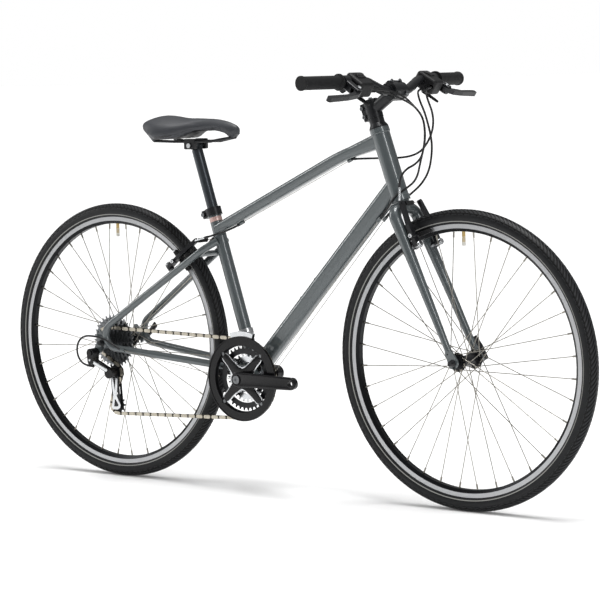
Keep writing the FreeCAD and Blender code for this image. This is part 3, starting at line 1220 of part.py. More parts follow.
def chainring_parts():
    rings = []
    for index, teeth in enumerate(RING_TEETH):
        ring_shape = toothed(teeth, size.tooth_thickness, pitch_radius(teeth) - size.ring_band)
        ring_shape.translate(bb + Y_AXIS * ring_line(index))
        rings.append(ring_shape)
    half = size.tooth_thickness / 2
    face = ring_line(0) - half - size.seat_gap
    rivets = []
    for index, teeth in enumerate(RING_TEETH):
        radius = pitch_radius(teeth) - size.ring_band + size.rivet_radius + size.seat_gap
        back = ring_line(index) - half if index else ring_line(0) + half
        for seat in round_points(radius, 0):
            front = face if index else face - size.spider_thickness
            stem_piece = rod(seat + Y_AXIS * front, seat + Y_AXIS * back, size.rivet_radius)
            if not index:
                head = front - size.seat_gap
                stem_piece = stem_piece.fuse(rod(seat + Y_AXIS * (head - rivet_head_height),
                                                 seat + Y_AXIS * front,
                                                 size.rivet_head_radius)).removeSplitter()
            rivets.append(stem_piece)
    rings[0] = rings[0].cut(rivets)
    part("chainrings", *[solid("chainring", shape) for shape in rings],
         *[solid("rivet", shape) for shape in rivets])
    guard_face = ring_line(0) - size.guard_offset
    notches = [Part.makeCylinder(size.rivet_head_radius, 4 * size.guard_thickness,
                                 seat + Y_AXIS * (guard_face - 2 * size.guard_thickness), Y_AXIS)
               for seat in round_points(size.guard_radius - size.guard_band, 0)]
    band = ring_at(size.guard_radius, size.guard_radius - size.guard_band, bb,
                   guard_face - size.guard_thickness, guard_face)
    lip = ring_at(size.guard_radius, size.guard_radius - size.guard_thickness, bb,
                  guard_face - size.guard_thickness - size.guard_rim, guard_face - size.guard_thickness)
    part("chain_guard", solid("chain_guard", joined([band, lip]).cut(notches)))
    return rivets


rivet_head_height = size.guard_offset - size.tooth_thickness / 2 - size.spider_thickness - 4 * size.seat_gap


def crank_arm():
    """Right crank arm on its own, pointing forward."""
    tip = bb + X_AXIS * size.crank_length
    root_line = (size.crank_boss_inner + size.crank_boss_outer) / 2

    def oval(ahead, line, width, depth):
        curve = Part.Ellipse(Vector(), width / 2, depth / 2)
        wire = Part.Wire(curve.toShape())
        wire.Placement = Placement(bb + Vector(ahead, -line, 0), Rotation(Z_AXIS, Y_AXIS, X_AXIS, "XYZ"))
        return wire

    arm = Part.makeLoft([oval(0, root_line, size.crank_arm_width, size.crank_arm_depth),
                         oval(size.crank_length, size.pedal_line, size.crank_tip_width,
                              size.crank_tip_depth)], True, True)
    boss = rod(bb - Y_AXIS * size.crank_boss_inner, bb - Y_AXIS * size.crank_boss_outer,
               size.crank_boss_radius)
    half = Y_AXIS * (size.pedal_boss_length / 2)
    pedal = tip - Y_AXIS * size.pedal_line
    eye = rod(pedal - half, pedal + half, size.pedal_boss_radius)
    holes = [rod(pedal - half * 2, pedal + half * 2, size.pedal_bore),
             rod(bb - Y_AXIS * 2 * size.crank_boss_outer, bb, size.spindle_end_radius + size.seat_gap)]
    return joined([arm, boss, eye]), holes


def crank_parts():
    rivets = chainring_parts()
    arm, holes = crank_arm()
    face = ring_line(0) - size.tooth_thickness / 2 - size.seat_gap
    depth = Y_AXIS * -size.spider_thickness
    seats = round_points(size.spider_reach - size.spider_tip_radius / 2, face)
    centre = bb + Y_AXIS * face
    legs = [strap([(centre, size.spider_root_radius), (seat, size.spider_tip_radius)], depth)
            for seat in seats]
    plate = rod(centre, bb - Y_AXIS * size.crank_boss_outer, size.crank_boss_radius)
    right = joined([arm, plate, *legs]).cut(holes + rivets)
    part("right_crank", solid("right_crank", largest(right)))
    left = flipped(arm.cut(holes))
    left.rotate(bb, Y_AXIS, 180)
    part("left_crank", solid("left_crank", left))
    ends = bb - Y_AXIS * size.spindle_half_length
    inner = bb - Y_AXIS * (size.crank_boss_inner - size.overrun)
    spindle = joined([rod(ends, bb, size.spindle_end_radius), rod(inner, bb, size.spindle_radius)])
    part("crank_spindle", solid("crank_spindle", joined([spindle, flipped(spindle)])))
    seat = bb - Y_AXIS * size.crank_boss_outer
    bolt = rod(seat, seat - Y_AXIS * size.crank_bolt_height, size.crank_bolt_radius).cut(
        Part.makeCylinder(size.crank_bolt_height, size.crank_bolt_height, seat - Y_AXIS * size.overrun,
                          Y_AXIS * -1))
    part("crank_bolts", solid("crank_bolt", bolt), solid("crank_bolt", flipped(bolt)))


def bottom_bracket_part():
    """Sealed cartridge in the frame's shell, with a flanged cup at each end."""
    cup, inner, half = "bb_shell_radius", "spindle_radius + running_gap", "bb_shell_length / 2"
    end = f"{half} + cover_height / 4"
    core = "bb_bore - seat_gap"
    outline = [(inner, f"-({end})"), (cup, f"-({end})"), (cup, f"-({half})"), (core, f"-({half})"),
               (core, half),
               (cup, half), (cup, end), (inner, end)]
    part("bottom_bracket_cartridge", turned("bb_cartridge", outline, along(bb, Y_AXIS)))


seat_clamp_part()
saddle_parts()
front_line = size.front_flange_half_gap
front_hub = hub_outline("-front_hub_half_width", "-front_flange_half_gap", "front_flange_half_gap",
                        "front_hub_half_width", "flange_radius", "hub_barrel_radius")
wheel_parts("front", front_axle, front_line, -front_line, size.flange_hole_radius, front_hub)
rear_hub = hub_outline("-rear_hub_right", "-rear_flange_right", "rear_flange_left", "rear_hub_left",
                       "rear_flange_radius", "rear_barrel_radius")
wheel_parts("rear", rear_axle, size.rear_flange_left, -size.rear_flange_right,
            size.rear_flange_hole_radius, rear_hub)
hub_gap = size.air_gap
axle_part("front", front_axle, size.front_hub_width, size.fork_tip_thickness,
          size.front_hub_half_width + hub_gap,
          size.front_hub_half_width + hub_gap)
axle_part("rear", rear_axle, size.rear_hub_width, size.dropout_thickness, size.rear_hub_left + hub_gap,
          freehub_end + size.lockring_height + hub_gap)
front_qr = qr_pivot(front_axle, size.front_hub_width, size.fork_tip_thickness)
rear_qr = qr_pivot(rear_axle, size.rear_hub_width, size.dropout_thickness)
qr_lever_part("front_qr_lever", front_qr, front_brake_up)
qr_lever_part("rear_qr_lever", rear_qr, unit(Vector(rear_boss.x - rear_axle.x, 0,
                                                    rear_boss.z - rear_axle.z)))
cassette_parts()
crank_parts()
bottom_bracket_part()


# Chain

def chain_wheels():
    """Sprockets in the order the chain meets them; a plus radius turns clockwise seen from the right."""
    cog, ring_centre = rear_axle + Y_AXIS * chain_cog_line, bb + Y_AXIS * ring_line(0)
    return [(cog, pitch_radius(COG_TEETH[CHAIN_COG])), (ring_centre, pitch_radius(RING_TEETH[0])),
            (tension_centre, pitch_radius(PULLEY_TEETH)), (guide_centre, -pitch_radius(PULLEY_TEETH))]


def chain_run(first, second):
    """Ends of the straight run from one sprocket to the next."""
    (centre1, turn1), (centre2, turn2) = first, second
    flat = Vector(centre2.x - centre1.x, 0, centre2.z - centre1.z)
    angle = math.atan2(flat.z, flat.x) - math.asin((turn1 - turn2) / flat.Length)
    normal = Vector(-math.sin(angle), 0, math.cos(angle))
    return centre1 + normal * turn1, centre2 + normal * turn2


def chain_stations():
    """Places of all chain pins, an even number of equal steps around the sprockets."""
    wheels = chain_wheels()
    runs = [chain_run(first, second) for first, second in zip(wheels, wheels[1:] + wheels[:1])]
    spans = []
    for index, (start, end) in enumerate(runs):
        spans.append(((end - start).Length, start, end - start, None))
        centre, turn = wheels[(index + 1) % len(wheels)]
        leave = runs[(index + 1) % len(runs)][0]
        enter_turn = math.atan2(end.z - centre.z, end.x - centre.x)
        leave_turn = math.atan2(leave.z - centre.z, leave.x - centre.x)
        way = -1 if turn > 0 else 1
        sweep = (leave_turn - enter_turn) * way % (2 * math.pi)
        step_turn = 2 * math.asin(size.chain_pitch / 2 / abs(turn))
        spans.append((sweep / step_turn * size.chain_pitch, centre, (enter_turn, way * sweep), abs(turn)))
    total = sum(span[0] for span in spans)
    count = 2 * round(total / size.chain_pitch / 2)
    lead = size.chain_pitch * straight_links
    step, stations = total / count, []
    for index in range(count):
        left = index * step
        for length, base, course, radius in spans:
            if left <= length:
                break
            left -= length
        if radius is None:
            drift = min(max((left - lead) / (length - 2 * lead), 0), 1)
            flat = Vector(course.x, 0, course.z) * (left / length)
            stations.append(base + flat + Y_AXIS * course.y * drift)
        else:
            angle = course[0] + course[1] * left / length
            stations.append(base + Vector(math.cos(angle), 0, math.sin(angle)) * radius)
    return stations, step


straight_links = 4.5


def chain_link(step, outer, open_ends):
    """One link along X from its first pin: two plates, and rollers or pins where no tooth passes through."""
    first = size.chain_half_gap + (size.chain_plate + size.chain_plate_gap if outer else 0)
    ends = (Vector(), X_AXIS * step)
    plate = strap([(end + Y_AXIS * first, size.chain_plate_radius) for end in ends],
                  Y_AXIS * size.chain_plate)
    tip = first + size.chain_plate + size.chain_plate_gap
    sides = [plate]
    for end, free in zip(ends, open_ends):
        low = end if free else end + Y_AXIS * (size.chain_half_gap + size.seat_gap)
        if outer:
            sides.append(rod(low, end + Y_AXIS * tip, size.chain_pin_radius))
        elif free:
            sides.append(rod(end, end + Y_AXIS * first, size.chain_roller_radius))
    half = joined(sides)
    if not outer:
        half = half.cut([rod(end - Y_AXIS * tip, end + Y_AXIS * tip,
                             size.chain_pin_radius + size.running_gap) for end in ends])
    other = flipped(half)
    return [half.fuse(other).removeSplitter()] if any(open_ends) else [half, other]


def chain_part():
    stations, step = chain_stations()
    clear = size.tooth_tip + size.chain_roller_radius + size.air_gap
    free = [all(math.hypot(place.x - centre.x, place.z - centre.z) > abs(turn) + clear for centre,
                turn in chain_wheels())
            for place in stations]
    models, links = {}, []
    for index, place in enumerate(stations):
        follow = (index + 1) % len(stations)
        kind = (index % 2 == 0, free[index], free[follow])
        if kind not in models:
            models[kind] = chain_link(step, kind[0], kind[1:])
        ahead = unit(stations[follow] - place)
        for model in models[kind]:
            link = model.copy()
            link.Placement = Placement(place, Rotation(ahead, Y_AXIS, Z_AXIS, "XYZ"))
            links.append(link)
    part("chain", *[solid("link", link) for link in links])


# Gear mechanisms

def pulley_parts():
    for name, centre in (("guide_pulley", guide_centre), ("tension_pulley", tension_centre)):
        pulley = toothed(PULLEY_TEETH, size.tooth_thickness, size.pulley_bore)
        pulley.translate(centre)
        part(name, solid(name, pulley))


mech_face = hanger_point - Y_AXIS * size.dropout_thickness
mech_end = mech_face - Y_AXIS * size.mech_knuckle_length
cage_outer = size.cage_half_gap + size.cage_plate
p_face = guide_centre - Y_AXIS * cage_outer
p_end = p_face - Y_AXIS * size.p_knuckle_length
mech_barrel = mech_face + Vector(-size.mech_knuckle_radius, -size.mech_knuckle_length / 2,
                                 -size.mech_drop - 2 * size.mech_link_radius)


def rear_mech_parts():
    """Rear gear mechanism: two knuckles joined by links, and the cage with its pulleys' pins."""
    down = Vector(0, 0, -size.mech_drop)
    depth = mech_end - mech_face
    upper = strap([(mech_face, size.mech_knuckle_radius),
                   (mech_face + down, size.mech_link_radius + size.mech_link_thickness / 2)], depth)
    bolt = joined([rod(mech_end, mech_end - Y_AXIS * size.mech_bolt_head_height, size.mech_bolt_head),
                   rod(mech_end, hanger_point, size.hanger_bolt_radius)])
    ferrule = joined([rod(mech_barrel, mech_barrel + X_AXIS * size.mech_knuckle_radius, size.stop_radius),
                      rod(mech_barrel + X_AXIS * size.mech_knuckle_radius,
                          mech_face + down + depth * 0.5, size.stop_radius)])
    lower = rod(p_face, p_end, size.p_knuckle_radius)
    links = []
    link_shares = ((0.2, 0.25), (0.8, 0.75))
    for high_share, low_share in link_shares:
        high, low = mech_face + down + depth * high_share, p_face + (p_end - p_face) * low_share
        link = strap([(high, size.mech_link_radius),
                      (low, size.mech_link_radius + size.mech_link_thickness / 2)],
                     unit(X_AXIS.cross(low - high)) * size.mech_link_thickness)
        links.append(link.cut([upper, lower, ferrule]))
    upper = joined([upper, ferrule]).cut(bolt)
    part("rear_mech_body", *[solid("mech_piece", largest(shape))
                             for shape in (upper, lower, bolt, *links)])
    pins = [rod(centre - Y_AXIS * cage_outer, centre + Y_AXIS * cage_outer, size.pulley_pin_radius)
            for centre in (guide_centre, tension_centre)]
    between = tension_centre - guide_centre
    window_shares = (0.4, 0.65)
    window = strap([(guide_centre + between * share - Y_AXIS * 2 * cage_outer, size.cage_radius / 2)
                    for share in window_shares],
                   Y_AXIS * 4 * cage_outer)
    plates = []
    for low in (-cage_outer, size.cage_half_gap):
        ends = [(centre + Y_AXIS * low, size.cage_radius) for centre in (guide_centre, tension_centre)]
        plates.append(strap(ends, Y_AXIS * size.cage_plate).cut([window, *pins]))
    part("rear_mech_cage", *[solid("cage_piece", shape) for shape in (*plates, *pins)])


def front_mech_part():
    """Front gear mechanism: a band on the seat tube, a link and a cage over the chain."""
    low = seat_at(size.front_mech_height - size.front_mech_band / 2)
    high = low + seat_up * size.front_mech_band
    tube = rod(low, high, size.seat_tube_radius + size.seat_gap)
    outer = size.seat_tube_radius + size.front_mech_wall
    inner_radius = pitch_radius(RING_TEETH[0]) - size.chain_plate_radius - size.chain_plate
    outer_radius = inner_radius + size.front_cage_depth
    thin, half = size.front_cage_plate, size.front_cage_half_gap
    start = math.radians(size.front_cage_start)
    radial = Vector(math.cos(start), 0, math.sin(start))
    corners = [(inner_radius, -half - thin), (outer_radius, -half - thin), (outer_radius, half + thin),
               (inner_radius, half + thin), (inner_radius, half), (outer_radius - thin,
                                                                   half), (outer_radius - thin, -half),
               (inner_radius, -half)]
    centre = bb + Y_AXIS * ring_line(0)
    points = [centre + radial * radius + Y_AXIS * left for radius, left in corners]
    face = Part.Face(Part.makePolygon(points + points[:1]))
    cage = face.revolve(bb, Y_AXIS, size.front_cage_start - size.front_cage_end)
    middle = (low + high) * 0.5
    seat_turn_end = math.radians(size.front_cage_end) - thin / half * start / half
    seat_radius = (inner_radius + outer_radius) / 2
    seat = centre + Vector(seat_radius * math.cos(seat_turn_end), half + thin,
                           seat_radius * math.sin(seat_turn_end))
    link = rod(middle - Y_AXIS * size.seat_tube_radius, seat, size.front_mech_band / 2)
    lug = rod(middle, middle + (Y_AXIS * -1 + seat_up.cross(Y_AXIS)) * size.seat_tube_radius,
              size.front_mech_band / 4)
    body = joined([rod(low, high, outer), link, lug]).cut([tube, cage])
    part("front_mech", solid("front_mech_body", largest(body)), solid("front_mech_cage", cage))
    return middle + (Y_AXIS * -1 + seat_up.cross(Y_AXIS)) * size.seat_tube_radius


# Brakes

def brake_place(boss, up, axis, left, high, ahead):
    """Place at a brake from its middle: to the left, up along the wheel's radius and out along the stud."""
    return Vector(boss.x, 0, boss.z) + Y_AXIS * left + up * high + axis * ahead


def noodle_points(boss, up, axis, clear, lean):
    """Guide pipe of a brake: from the housing's end, down to the right arm's top and through it."""
    middle = clear + size.stud_base_length + size.air_gap + size.arm_hub_length / 2
    top = size.arm_length + size.noodle_rise
    corner_left = -(size.arm_top_half_gap + 2 * size.arm_top_radius)
    return [brake_place(boss, up, axis, corner_left + size.noodle_radius, top, middle + lean),
            brake_place(boss, up, axis, corner_left, size.arm_length, middle),
            brake_place(boss, up, axis, -size.arm_top_half_gap + 2 * size.arm_top_radius,
                        size.arm_length, middle)]


def brake_parts(name, boss, up, axis, clear, lean):
    """A pair of brake arms with pads, the guide pipe and boot on the right and the wire on the left."""
    start = clear + size.stud_base_length + size.air_gap
    middle = start + size.arm_hub_length / 2

    def at(left, high, ahead):
        return brake_place(boss, up, axis, left, high, ahead)

    pivot, end = at(-size.boss_half_gap, 0, start), at(-size.boss_half_gap, 0,
                                                       start + size.arm_hub_length)
    back = middle - size.arm_thickness / 2
    outline = [(at(-size.boss_half_gap, 0, back), size.arm_hub_radius),
               (at(-size.boss_half_gap - size.arm_top_radius / 2, size.arm_length / 2, back),
                size.arm_top_radius + size.stud_radius / 4),
               (at(-size.arm_top_half_gap, size.arm_length, back), size.arm_top_radius)]
    track = size.rim_radius - size.rim_track / 2 - size.pad_drop
    lead = math.asin(middle / track)
    pad_high = track * math.cos(lead) - size.boss_radius
    pad_up = up * math.cos(lead) + axis * math.sin(lead)
    pad_along = axis * math.cos(lead) - up * math.sin(lead)
    pad_out = -(size.rim_half_width + size.pad_rim_gap + size.pad_thickness)
    sole = rounded_section(at(pad_out, pad_high, middle), pad_along, pad_up, size.pad_length,
                           size.pad_height, size.pad_height / 3)
    pad = Part.Face(sole).extrude(Y_AXIS * size.pad_thickness)
    reach = -(size.boss_half_gap + size.arm_hub_radius + size.pad_stud_radius)
    pad_bolt = rod(at(pad_out, pad_high, middle), at(reach, pad_high, middle), size.pad_stud_radius)
    nut = rod(at(reach, pad_high, middle), at(-size.boss_half_gap, pad_high, middle),
              2 * size.pad_stud_radius)
    stud = rod(at(-size.boss_half_gap, 0, 0), end + axis * size.stud_length,
               size.stud_radius + size.running_gap)
    bolt = rod(end + axis * size.air_gap, end + axis * (size.air_gap + size.arm_bolt_height),
               size.arm_bolt_radius)
    course = noodle_points(boss, up, axis, clear, lean)
    noodle, tip = pipe(course, size.noodle_radius, size.noodle_bend_radius), course[-1]
    boot_end = Vector(tip.x, size.arm_top_radius, tip.z)
    boot = rod(tip, boot_end, size.boot_radius).cut(rod(tip, boot_end, size.boot_bore))
    wire = rod(Vector(tip.x, size.arm_top_half_gap, tip.z), Vector(tip.x, -size.boot_radius, tip.z),
               size.brake_wire_radius)
    arm = joined([rod(pivot, end, size.arm_hub_radius), strap(outline, axis * size.arm_thickness),
                  pad_bolt, nut]).cut(stud)
    part(name + "_right_brake_arm", *[solid(name + "_arm_piece", shape)
                                      for shape in (largest(arm.cut(noodle)), pad, bolt, noodle, boot)])
    left_arm = flipped(arm)
    part(name + "_left_brake_arm", *[solid(name + "_arm_piece", shape)
                                     for shape in (left_arm, flipped(pad), flipped(bolt),
                                                   wire.cut(left_arm))])


# Cables

right_shift_shares = ((1.165, 0.665, -0.22), (1.033, 0.784, -0.22), (0.865, 0.861, -0.235),
                      (0.686, 0.847, -0.25),
                      (0.531, 0.782, -0.25), (0.339, 0.639, -0.25), (0.166, 0.438, -0.235), (0.062,
                                                                                             0.036, -0.195))
front_brake_shares = ((1.256, 0.618, -0.168), (1.053, 0.726, -0.14), (0.892, 0.782, -0.112),
                      (0.719, 0.752, -0.112),
                      (0.559, 0.685, -0.112), (0.364, 0.547, -0.112))
left_shift_shares = ((1.22, 0.52, 0.315), (1.0, 0.53, 0.345), (0.677, 0.493, 0.369),
                     (0.503, 0.454, 0.346),
                     (0.293, 0.355, 0.313), (0.153, 0.22, 0.257), (0.061, 0.018, 0.184))
left_brake_shares = ((1.208, 0.602, 0.38), (0.975, 0.593, 0.43), (0.774, 0.488, 0.458),
                     (0.603, 0.336, 0.391),
                     (0.552, 0.189, 0.335), (0.588, -0.024, 0.257), (0.691, -0.297, 0.145))


# places of the rear gear housing from its barrel: ahead, left and up
mech_loop = ((65, 3.5, 65), (25, 1.5, 76), (-21, 0.5, 76), (-43, 0, 54), (-43, 0, 22), (-21, 0, 0))
bottle_share, brake_lead_share = 0.42, 0.6
front_brake = (front_boss, front_brake_up, front_brake_axis, size.blade_top_radius, size.noodle_lean)
rear_brake = (rear_boss, rear_brake_up, rear_brake_axis, size.stay_radius, -size.noodle_lean)


def mirror_point(place):
    return Vector(place.x, -place.y, place.z)


def housing(name, points):
    least = min(widest_bend(*corner) for corner in zip(points, points[1:], points[2:]))
    print(f"{name}: least bend radius {least:.0f} mm")
    return pipe(points, size.housing_radius)


stop_lead_shares = (0.65, 3)


def stop_lead(stop, direction, leads=stop_lead_shares):
    """Two points out of a cable stop: its mouth and a place a little further along its axis."""
    return [stop + direction * size.stop_length * lead for lead in leads]


def control_cable_shapes():
    """The three housings that run from the handlebar to the frame."""
    inward = bar_out * -1
    start = [pod_exit, pod_exit + inward * size.cable_lead]
    left_start = [mirror_point(place) for place in start]
    brake = [barrel_end, at_hand(-size.cable_lead * brake_lead_share, barrel_reach)]
    right_end = stop_lead(down_stop_right, down_tube_ahead)
    left_end = stop_lead(down_stop_left, down_tube_ahead)
    top_end = stop_lead(top_stop_front, top_tube_ahead)[:1]
    routes = {"rear gear cable": start + [steer_share(*share) for share in right_shift_shares]
              + right_end[::-1],
              "front gear cable": left_start + [steer_share(*share)
                                                for share in left_shift_shares] + left_end[::-1],
              "rear brake cable": [mirror_point(place) for place in brake]
              + [steer_share(*share) for share in left_brake_shares] + top_end}
    return [housing(name, route) for name, route in routes.items()]


def front_brake_cable():
    brake = [barrel_end, at_hand(-size.cable_lead * brake_lead_share, barrel_reach)]
    noodle = noodle_points(*front_brake)
    out = unit(noodle[0] - noodle[1])
    end = [noodle[0] + out * size.noodle_rise, noodle[0] + out * size.air_gap]
    return housing("front brake cable", brake + [steer_share(*share) for share in front_brake_shares]
                   + end)


def bare(points):
    return pipe(points, size.wire_radius, size.wire_bend_radius)


def frame_cable_shapes(front_mech_anchor):
    """Bare wires along the frame, and the housings at its rear end."""
    half = size.stop_length / 2 + size.seat_gap
    ahead_share, drop_share, back_share, side_share, behind_share = 0.6, 1.2, 1.35, 0.2, 0.95
    under = bb + Vector(ahead_share, 0, -drop_share) * size.bb_shell_radius
    stay_ahead = unit(loop_corner - chain_stay_bend)
    top_wire = rod(top_stop_front - top_tube_ahead * half, top_stop_rear + top_tube_ahead * half,
                   size.wire_radius)
    anchor = front_mech_anchor - seat_up * (size.front_mech_band / 4 + size.air_gap)
    stay_wire_end = chain_stay_stop - stay_ahead * (half + size.air_gap)
    gear_wire = bare([down_stop_right - down_tube_ahead * half, under - Y_AXIS * wire_line,
                      stay_wire_end])
    behind = bb + Vector(-back_share, -side_share, -behind_share) * size.bb_shell_radius
    front_wire = bare([down_stop_left - down_tube_ahead * half, under + Y_AXIS * wire_line, behind,
                       anchor])
    noodle = noodle_points(*rear_brake)
    out = unit(noodle[0] - noodle[1])
    brake_lead_shares = (1.1, 6)
    brake_start = [top_stop_rear - top_tube_ahead * half * lead for lead in brake_lead_shares]
    brake_end = [noodle[0] + out * size.noodle_rise, noodle[0] + out * size.air_gap]
    brake_housing = housing("rear brake end", brake_start + brake_end)
    loop = [mech_barrel + Vector(ahead, left, rise) for ahead, left, rise in mech_loop]
    slant = size.housing_radius * stay_ahead.getAngle(loop[0] - chain_stay_stop)
    loop_start = chain_stay_stop + stay_ahead * (half + slant + size.air_gap)
    gear_housing = housing("rear gear end", [loop_start, *loop, mech_barrel])
    return [top_wire, gear_wire, front_wire, brake_housing, gear_housing]


def bottle_bolts_part():
    """Two bolts in the down tube's upper face, for a bottle cage."""
    middle = down_tube_bb + (down_tube_head - down_tube_bb) * bottle_share
    middle -= down_tube_under * (size.down_tube_height / 2)
    seats = [middle + down_tube_ahead * (size.bottle_bolt_spacing / 2 * way) for way in (-1, 1)]
    part("bottle_bolts", *[solid("bottle_bolt",
                                 rod(seat, seat - down_tube_under * size.bottle_bolt_head_height,
                                                    size.bottle_bolt_head)) for seat in seats])


pulley_parts()
rear_mech_parts()
mech_anchor = front_mech_part()
brake_parts("front", *front_brake)
brake_parts("rear", *rear_brake)
part("front_brake_cable", solid("front_brake_cable", front_brake_cable()))
part("control_cables", *[solid("control_cable", shape) for shape in control_cable_shapes()])
part("frame_cables", *[solid("frame_cable", shape) for shape in frame_cable_shapes(mech_anchor)])
chain_part()
bottle_bolts_part()

doc.recompute()
failed = [thing.Name for thing in doc.Objects if "Invalid" in thing.State or "Error" in thing.State]
if failed:
    raise RuntimeError(f"failed: {failed}")
for thing in PARTS:
    if thing.Shape.isNull() or not thing.Shape.isValid():
        raise RuntimeError(f"{thing.Label} is not a valid shape")
os.makedirs("parts", exist_ok=True)
for thing in PARTS:
    thing.Shape.exportStep(f"parts/{thing.Label}.step")
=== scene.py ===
"""Looks of a flat-bar hybrid bicycle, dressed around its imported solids."""

import json
import math

import bpy
from mathutils import Euler, Matrix, Vector


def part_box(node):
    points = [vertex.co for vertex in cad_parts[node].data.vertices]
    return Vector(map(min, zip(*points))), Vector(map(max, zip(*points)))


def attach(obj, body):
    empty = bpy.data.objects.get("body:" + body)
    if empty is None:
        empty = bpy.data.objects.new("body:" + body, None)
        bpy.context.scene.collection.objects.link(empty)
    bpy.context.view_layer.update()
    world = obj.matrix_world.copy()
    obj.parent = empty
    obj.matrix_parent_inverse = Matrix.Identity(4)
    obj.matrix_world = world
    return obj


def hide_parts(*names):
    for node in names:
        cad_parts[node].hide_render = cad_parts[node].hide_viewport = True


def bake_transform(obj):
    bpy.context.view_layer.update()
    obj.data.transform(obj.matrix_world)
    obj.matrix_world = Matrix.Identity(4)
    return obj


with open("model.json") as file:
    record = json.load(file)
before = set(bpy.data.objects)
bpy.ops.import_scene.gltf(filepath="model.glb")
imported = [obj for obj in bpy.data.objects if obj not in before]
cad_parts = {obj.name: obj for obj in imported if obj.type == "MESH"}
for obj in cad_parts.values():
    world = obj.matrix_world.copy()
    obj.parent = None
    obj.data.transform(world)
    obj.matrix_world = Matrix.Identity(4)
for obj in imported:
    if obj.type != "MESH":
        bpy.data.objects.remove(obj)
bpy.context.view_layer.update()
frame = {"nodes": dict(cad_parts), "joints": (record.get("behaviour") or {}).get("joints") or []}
nodes = frame["nodes"]
joints = {joint["name"]: joint for joint in frame["joints"]}

MM = 0.001
FRONT_AXLE = Vector(joints["front_wheel_spin"]["pos_m"])
REAR_AXLE = Vector(joints["rear_wheel_spin"]["pos_m"])
BRACKET = Vector(joints["crank_spin"]["pos_m"])
SEAT_UP = Vector(joints["seatpost_height"]["axis"])
X_AXIS = Vector((1, 0, 0))
Y_AXIS = Vector((0, 1, 0))
Z_AXIS = Vector((0, 0, 1))

# Materials


def linear(code):
    """The linear colour of an sRGB hex value."""
    parts = [int(code[start:start + 2], 16) / 255 for start in (0, 2, 4)]
    return tuple(c / 12.92 if c <= 0.04045 else ((c + 0.055) / 1.055) ** 2.4 for c in parts) + (1,)


def per_mm(millimetres):
    """Texture scale, in cycles per metre, of a pattern that repeats every so many millimetres."""
    return 1 / (millimetres * MM)


def add_node(tree, kind, settings=None, links=None):
    """Adds one shader node with its properties, its input values and the sockets that feed it."""
    node = tree.nodes.new("ShaderNode" + kind)
    for name, value in (settings or {}).items():
        if isinstance(name, str) and hasattr(node, name):
            setattr(node, name, value)
        else:
            node.inputs[name].default_value = value
    for name, socket in (links or {}).items():
        tree.links.new(socket, node.inputs[name])
    return node


def new_material(name, colour, **sockets):
    """A material with one shader, its plain values set on the shader's own sockets."""
    material = bpy.data.materials.new(name)
    material.use_nodes = True
    tree = material.node_tree
    shader = tree.nodes["Principled BSDF"]
    shader.inputs["Base Color"].default_value = linear(colour)
    for socket, value in sockets.items():
        shader.inputs[socket.replace("_", " ")].default_value = value
    return material, tree, shader


def grain(tree, shader, size_mm, height_mm, detail=2):
    """Fine surface relief from noise of a real size, drawn on the piece's own coordinates."""
    place = add_node(tree, "TexCoord")
    noise = add_node(tree, "TexNoise", {"Scale": per_mm(size_mm), "Detail": detail},
                     {"Vector": place.outputs["Object"]})
    bump = add_node(tree, "Bump", {"Distance": height_mm * MM}, {"Height": noise.outputs["Fac"]})
    tree.links.new(bump.outputs["Normal"], shader.inputs["Normal"])
    return place, noise


def mottle(tree, shader, wander, dark, light):
    """Colour that wanders between two hex values with a texture's output."""
    mix = add_node(tree, "Mix", {"data_type": "RGBA", 6: linear(dark), 7: linear(light)}, {0: wander})
    tree.links.new(mix.outputs[2], shader.inputs["Base Color"])
    return mix.outputs[2]


def uneven_gloss(tree, shader, place, size_mm, low, high):
    """Roughness that wanders between two values, as handled or oiled metal does."""
    noise = add_node(tree, "TexNoise", {"Scale": per_mm(size_mm), "Detail": 4}, {"Vector": place.outputs["Object"]})
    spread = add_node(tree, "MapRange", {"To Min": low, "To Max": high}, {"Value": noise.outputs["Fac"]})
    tree.links.new(spread.outputs["Result"], shader.inputs["Roughness"])


def between(tree, value, low, high):
    """A mask that is 1 where a value lies between two limits."""
    above = add_node(tree, "Math", {"operation": "GREATER_THAN", 1: low}, {0: value})
    below = add_node(tree, "Math", {"operation": "LESS_THAN", 1: high}, {0: value})
    both = add_node(tree, "Math", {"operation": "MULTIPLY"}, {0: above.outputs[0], 1: below.outputs[0]})
    return both.outputs[0]


def wheel_radius(tree, place, axle):
    """Distance of a point from a wheel's axle line, in metres."""
    centred = add_node(tree, "Mapping", {"Location": -axle}, {"Vector": place.outputs["Object"]})
    flat = add_node(tree, "VectorMath", {"operation": "MULTIPLY", 1: (1, 0, 1)}, {0: centred.outputs["Vector"]})
    return add_node(tree, "VectorMath", {"operation": "LENGTH"}, {0: flat.outputs["Vector"]}).outputs["Value"]


def plain_finish(name, colour, dark, light, relief, gloss=None, **sockets):
    """A finish whose colour wanders between two values over a fine relief, with its gloss uneven where given.

    The relief is the grain's size and height in millimetres and its detail. The gloss is the size of its patches in
    millimetres and the lowest and highest roughness.
    """
    material, tree, shader = new_material(name, colour, **sockets)
    place, noise = grain(tree, shader, *relief)
    mottle(tree, shader, noise.outputs["Fac"], dark, light)
    if gloss:
        uneven_gloss(tree, shader, place, *gloss)
    return material


BAND_BELOW, BAND_ABOVE, BAND_REACH = 1 * MM, 10 * MM, 60 * MM


